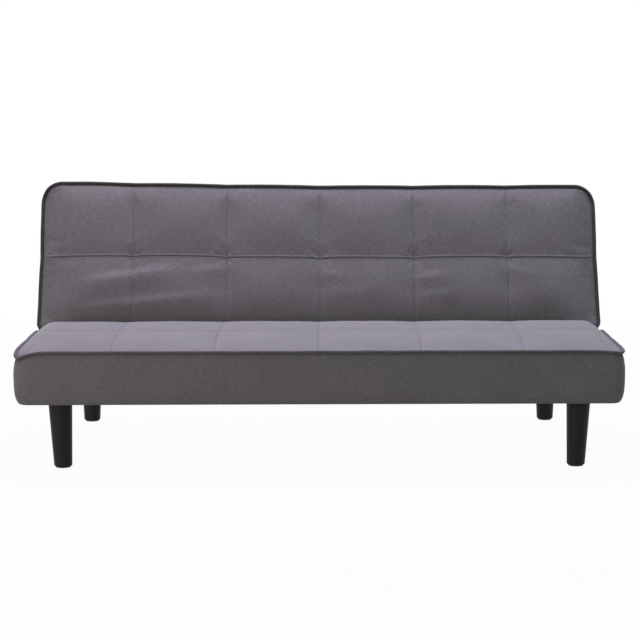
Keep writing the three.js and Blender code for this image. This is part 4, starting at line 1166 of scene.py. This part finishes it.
@dataclass
class StapledLining:
    """A thin bonded lining pulled flat over a frame, with a folded hem and staples.

    A cutout is a hole, given by its lowest and highest corners.
    """

    name: str
    node: str
    body: Body
    low: Array
    high: Array
    place: Callable[[Array], Array]
    cutouts: tuple = ()
    corner_radius: float = 15 * MM
    hem: float = 14 * MM
    fold_width: float = 2 * MM
    thickness: float = 0.9 * MM
    spacing: float = 9 * MM
    staple_pitch: float = 52 * MM
    staple_length: float = 10 * MM
    staple_radius: float = 0.55 * MM
    seed: int = 3

    def surface(self, x: Array, y: Array) -> Array:
        """The lining's outer face, which looks down: slack between staples, thicker at its hem."""
        edge = np.minimum(*(np.minimum(v - self.low[i], self.high[i] - v) for i, v in enumerate((x, y))))
        hem = 0.45 * MM * ramp(edge, self.hem, self.hem - self.fold_width)
        waves = [np.cos(2 * math.pi * v / self.staple_pitch) for v in (x, y)]
        pull = np.exp(-edge / (30 * MM)) * sum(waves) / 2
        slack = ripple(x, y, self.seed, 130, 210, 340, 550) * ramp(edge, 0, 80 * MM)
        z = self.high[2] - self.thickness - 0.1 * MM - hem + 0.25 * MM * pull - 0.35 * MM * (1 + slack)
        return np.stack([x, y, z], axis=-1)

    def rounded(self, points: Array) -> Array:
        """Draws the square corners of the lining in to round ones, and places it."""
        middle, half = (self.low + self.high)[:2] / 2, (self.high - self.low)[:2] / 2
        plan, _, _ = round_corners(points[..., :2] - middle, half, self.corner_radius)
        return np.concatenate([middle + plan, points[..., 2:]], axis=-1)

    def build(self) -> None:
        """Makes the lining and its staples."""
        size = (self.high - self.low)[:2]
        folds = np.array([self.hem - self.fold_width, self.hem])
        lines = []
        for axis, (low, high) in enumerate(zip(self.low[:2], self.high[:2])):
            cuts = [corner[axis] for cut in self.cutouts for corner in cut]
            even = np.linspace(low, high, int(size[axis] / self.spacing))
            lines.append(np.unique(np.concatenate([even, low + folds, high - folds, cuts])))
        middles = np.stack(np.meshgrid(*((line[1:] + line[:-1]) / 2 for line in lines)), axis=-1)
        keep = np.ones(middles.shape[:2], bool)
        area = size.prod() - (4 - math.pi) * self.corner_radius**2
        for low, high in self.cutouts:
            keep &= ~((middles > low) & (middles < high)).all(axis=-1)
            area -= (high - low).prod()
        draft = MeshDraft()
        ids = draft.points(self.place(self.rounded(self.surface(*np.meshgrid(*lines)))))
        draft.patch(ids, keep=keep, flip=True)
        lining = draft.piece(self.name, LINING, self.body, self.node)
        thicken(lining, self.thickness)
        staples = self.build_staples()

    def build_staples(self) -> bpy.types.Object:
        """Staples round the hem, each a little askew."""
        random = np.random.default_rng(self.seed)
        inset = self.hem / 2
        low, high = self.low[:2] + inset, self.high[:2] - inset
        centres, directions = [], []
        for axis in range(2):
            count = int((high[axis] - low[axis]) / self.staple_pitch)
            along = np.linspace(low[axis] + self.staple_pitch / 3, high[axis] - self.staple_pitch / 3, count)
            for limit in (low[1 - axis], high[1 - axis]):
                askew = random.normal(0, 0.14, count)
                step = 1 - 2 * axis
                centres.append(np.column_stack([along, np.full(count, limit)])[:, ::step])
                directions.append(np.column_stack([np.cos(askew), np.sin(askew)])[:, ::step])
        centres, directions = np.concatenate(centres), np.concatenate(directions)
        clear = np.ones(len(centres), bool)
        for cut_low, cut_high in self.cutouts:
            clear &= ~((centres > cut_low - inset) & (centres < cut_high + inset)).all(axis=1)
        centre = self.rounded(self.surface(*centres[clear].T))
        along = np.pad(directions[clear], ((0, 0), (0, 1)))
        draft = MeshDraft()
        spots = carried(self.place, centre, along, -AXES[2])
        capsules(draft, spots, self.staple_length, self.staple_radius)
        return draft.piece(f"{self.name}_staples", ZINC, self.body)


def linings(hinge: Hinge) -> list:
    """The lining under the seat, with holes for the front leg plates, and the one behind the back."""
    room = np.array([[-0.6 * MM], [0.6 * MM]])
    cutouts = tuple(node_box(f"leg_plate_{corner}")[:, :2] + room for corner in CORNERS[:2])
    seat_box, back_box = node_box("seat_dust_cover"), hinge.flat_box("back_rear_panel")
    return [
        StapledLining("seat_underlining", "seat_dust_cover", Body.SEAT, *seat_box, unmoved, cutouts),
        StapledLining("back_rear_lining", "back_rear_panel", Body.BACK, *back_box, hinge.raise_up,
                      corner_radius=44 * MM, seed=5),
    ]


@dataclass(frozen=True)
class Studio:
    """A plain pale floor, a white surround, soft light from above, and the photograph's camera."""

    camera_place: tuple = (-0.0202, -5.677, 1.0964)
    camera_down: float = math.radians(7.2788)
    camera_left: float = math.radians(-0.2377)
    camera_roll: float = math.radians(-0.1391)
    lens: float = 109.13
    floor_reach: float = 14.0
    near_floor: float = 1.6
    far_floor: float = 3.4
    surround: float = 0.41
    overhead: float = 183.0
    low: float = 24.5

    def build(self) -> None:
        """Makes the camera, the lights, the world and the floor."""
        self.build_camera()
        self.build_world()
        self.build_floor()
        self.light("overhead", self.overhead, (0.0, 0.5, 3.15), (0.0, 0.1, 0.3), (4.0, 1.6),
                   (0.87, 0.83, 1.0))
        self.light("low", self.low, (-2.2, -2.6, 0.6), (-0.3, 0.0, 0.3), (1.4, 1.0), (1.0, 0.82, 0.71))

    def put(self, name: str, data: bpy.types.ID, place: tuple) -> bpy.types.Object:
        """Puts a camera or a lamp in its place."""
        thing = bpy.data.objects.new(name, data)
        thing.location = place
        bpy.context.scene.collection.objects.link(thing)
        return thing

    def build_camera(self) -> None:
        """A long lens at eye height, tipped down a little."""
        data = bpy.data.cameras.new("camera")
        data.lens, data.sensor_width = self.lens, 36.0
        camera = self.put("camera", data, self.camera_place)
        angles = (self.camera_left, math.pi / 2 - self.camera_down, self.camera_roll)
        left, down, roll = (Matrix.Rotation(angle, 3, axis) for angle, axis in zip(angles, "ZXZ"))
        camera.rotation_euler = (left @ down @ roll).to_euler()
        bpy.context.scene.camera = camera

    def light(self, name: str, power: float, place: tuple, target: tuple, size: tuple, tint: tuple) -> None:
        """A large soft rectangle of light, facing its target."""
        data = bpy.data.lights.new(name, "AREA")
        data.shape, data.size, data.size_y, data.energy, data.color = "RECTANGLE", *size, power, tint
        direction = Vector(target) - Vector(place)
        self.put(name, data, place).rotation_euler = direction.to_track_quat("-Z", "Y").to_euler()

    def seen_share(self, graph: ShaderGraph) -> Socket:
        """One on rays from the camera or off metal and glass, nought on the rays that light things."""
        path = graph.add("LightPath").node.outputs
        seen = graph.math("MAXIMUM", path["Is Camera Ray"], path["Is Glossy Ray"])
        return graph.math("MAXIMUM", seen, path["Is Transmission Ray"])

    def build_world(self) -> None:
        """White where it is seen, and a pale even light on the object."""
        world = bpy.context.scene.world = bpy.data.worlds.new("surround")
        g = ShaderGraph(world.name, world)
        lit = g.add("Background", {"Color": (0.89, 1.0, 0.88, 1.0), "Strength": self.surround})
        seen = g.add("Background", {"Color": WHITE, "Strength": 1.0})
        g.close(g.add("MixShader", {0: self.seen_share(g), 1: lit, 2: seen}))

    def build_floor(self) -> None:
        """A floor that shows the object's shadow close by, and fades to white further off."""
        rings = np.geomspace(0.3, self.floor_reach, 30)[:, None, None] * circle(1.0, 96)
        draft = MeshDraft()
        ids = looped(draft.points(np.pad(rings, ((0, 0), (0, 0), (0, 1)))), 1)
        draft.patch(ids, flip=True)
        close_end(draft, ids[0], np.zeros(3), first=True)
        draft.build("floor", self.floor_material())

    def floor_material(self) -> bpy.types.Material:
        """Pale matt paint, lifted to white where it is seen and further than the shadow."""
        g = ShaderGraph("studio_floor")
        place = g.add("TexCoord", output="Object")
        distance = g.add("VectorMath", {0: place}, "Value", operation="LENGTH")
        far = g.spread(distance, (self.near_floor, self.far_floor), (0.965, 1.0))
        grain = g.tint(g.noise(place, (3.0, 3.0, 3.0)), (0.30, 0.30, 0.30), (0.33, 0.33, 0.33))
        paint = g.add("BsdfDiffuse", {"Color": grain})
        white = g.add("Emission", {"Color": WHITE, "Strength": 1.0})
        seen = g.add("MixShader", {0: g.math("MULTIPLY", self.seen_share(g), far), 1: paint, 2: white})
        below = g.add("NewGeometry", output="Backfacing")
        return g.close(g.add("MixShader", {0: below, 1: seen, 2: g.add("BsdfTransparent")}))


def dress_frame_nodes() -> None:
    """Gives each node that still shows its own finish."""
    for name, node in frame["nodes"].items():
        finish = next((finish for part, finish in CAD_FINISHES.items() if part in name), None)
        if finish is None or node.hide_render:
            continue
        for slot in node.material_slots:
            slot.material = finish.material()
        LOG.info("%s: %s", name, finish.name)


def main() -> None:
    """Builds the sofa bed's looks, in order."""
    logging.basicConfig(level=logging.INFO, format="%(message)s")
    bpy.context.scene.view_settings.view_transform = "Standard"
    Studio().build()
    hinge = Hinge.from_frame()
    seat_cushion(hinge).build()
    back_cushion(hinge).build()
    for corner in CORNERS:
        TaperedLeg(corner).build()
    SteelBase().build()
    for lining in linings(hinge):
        lining.build()
    dress_frame_nodes()


if __name__ == "__main__":
    main()
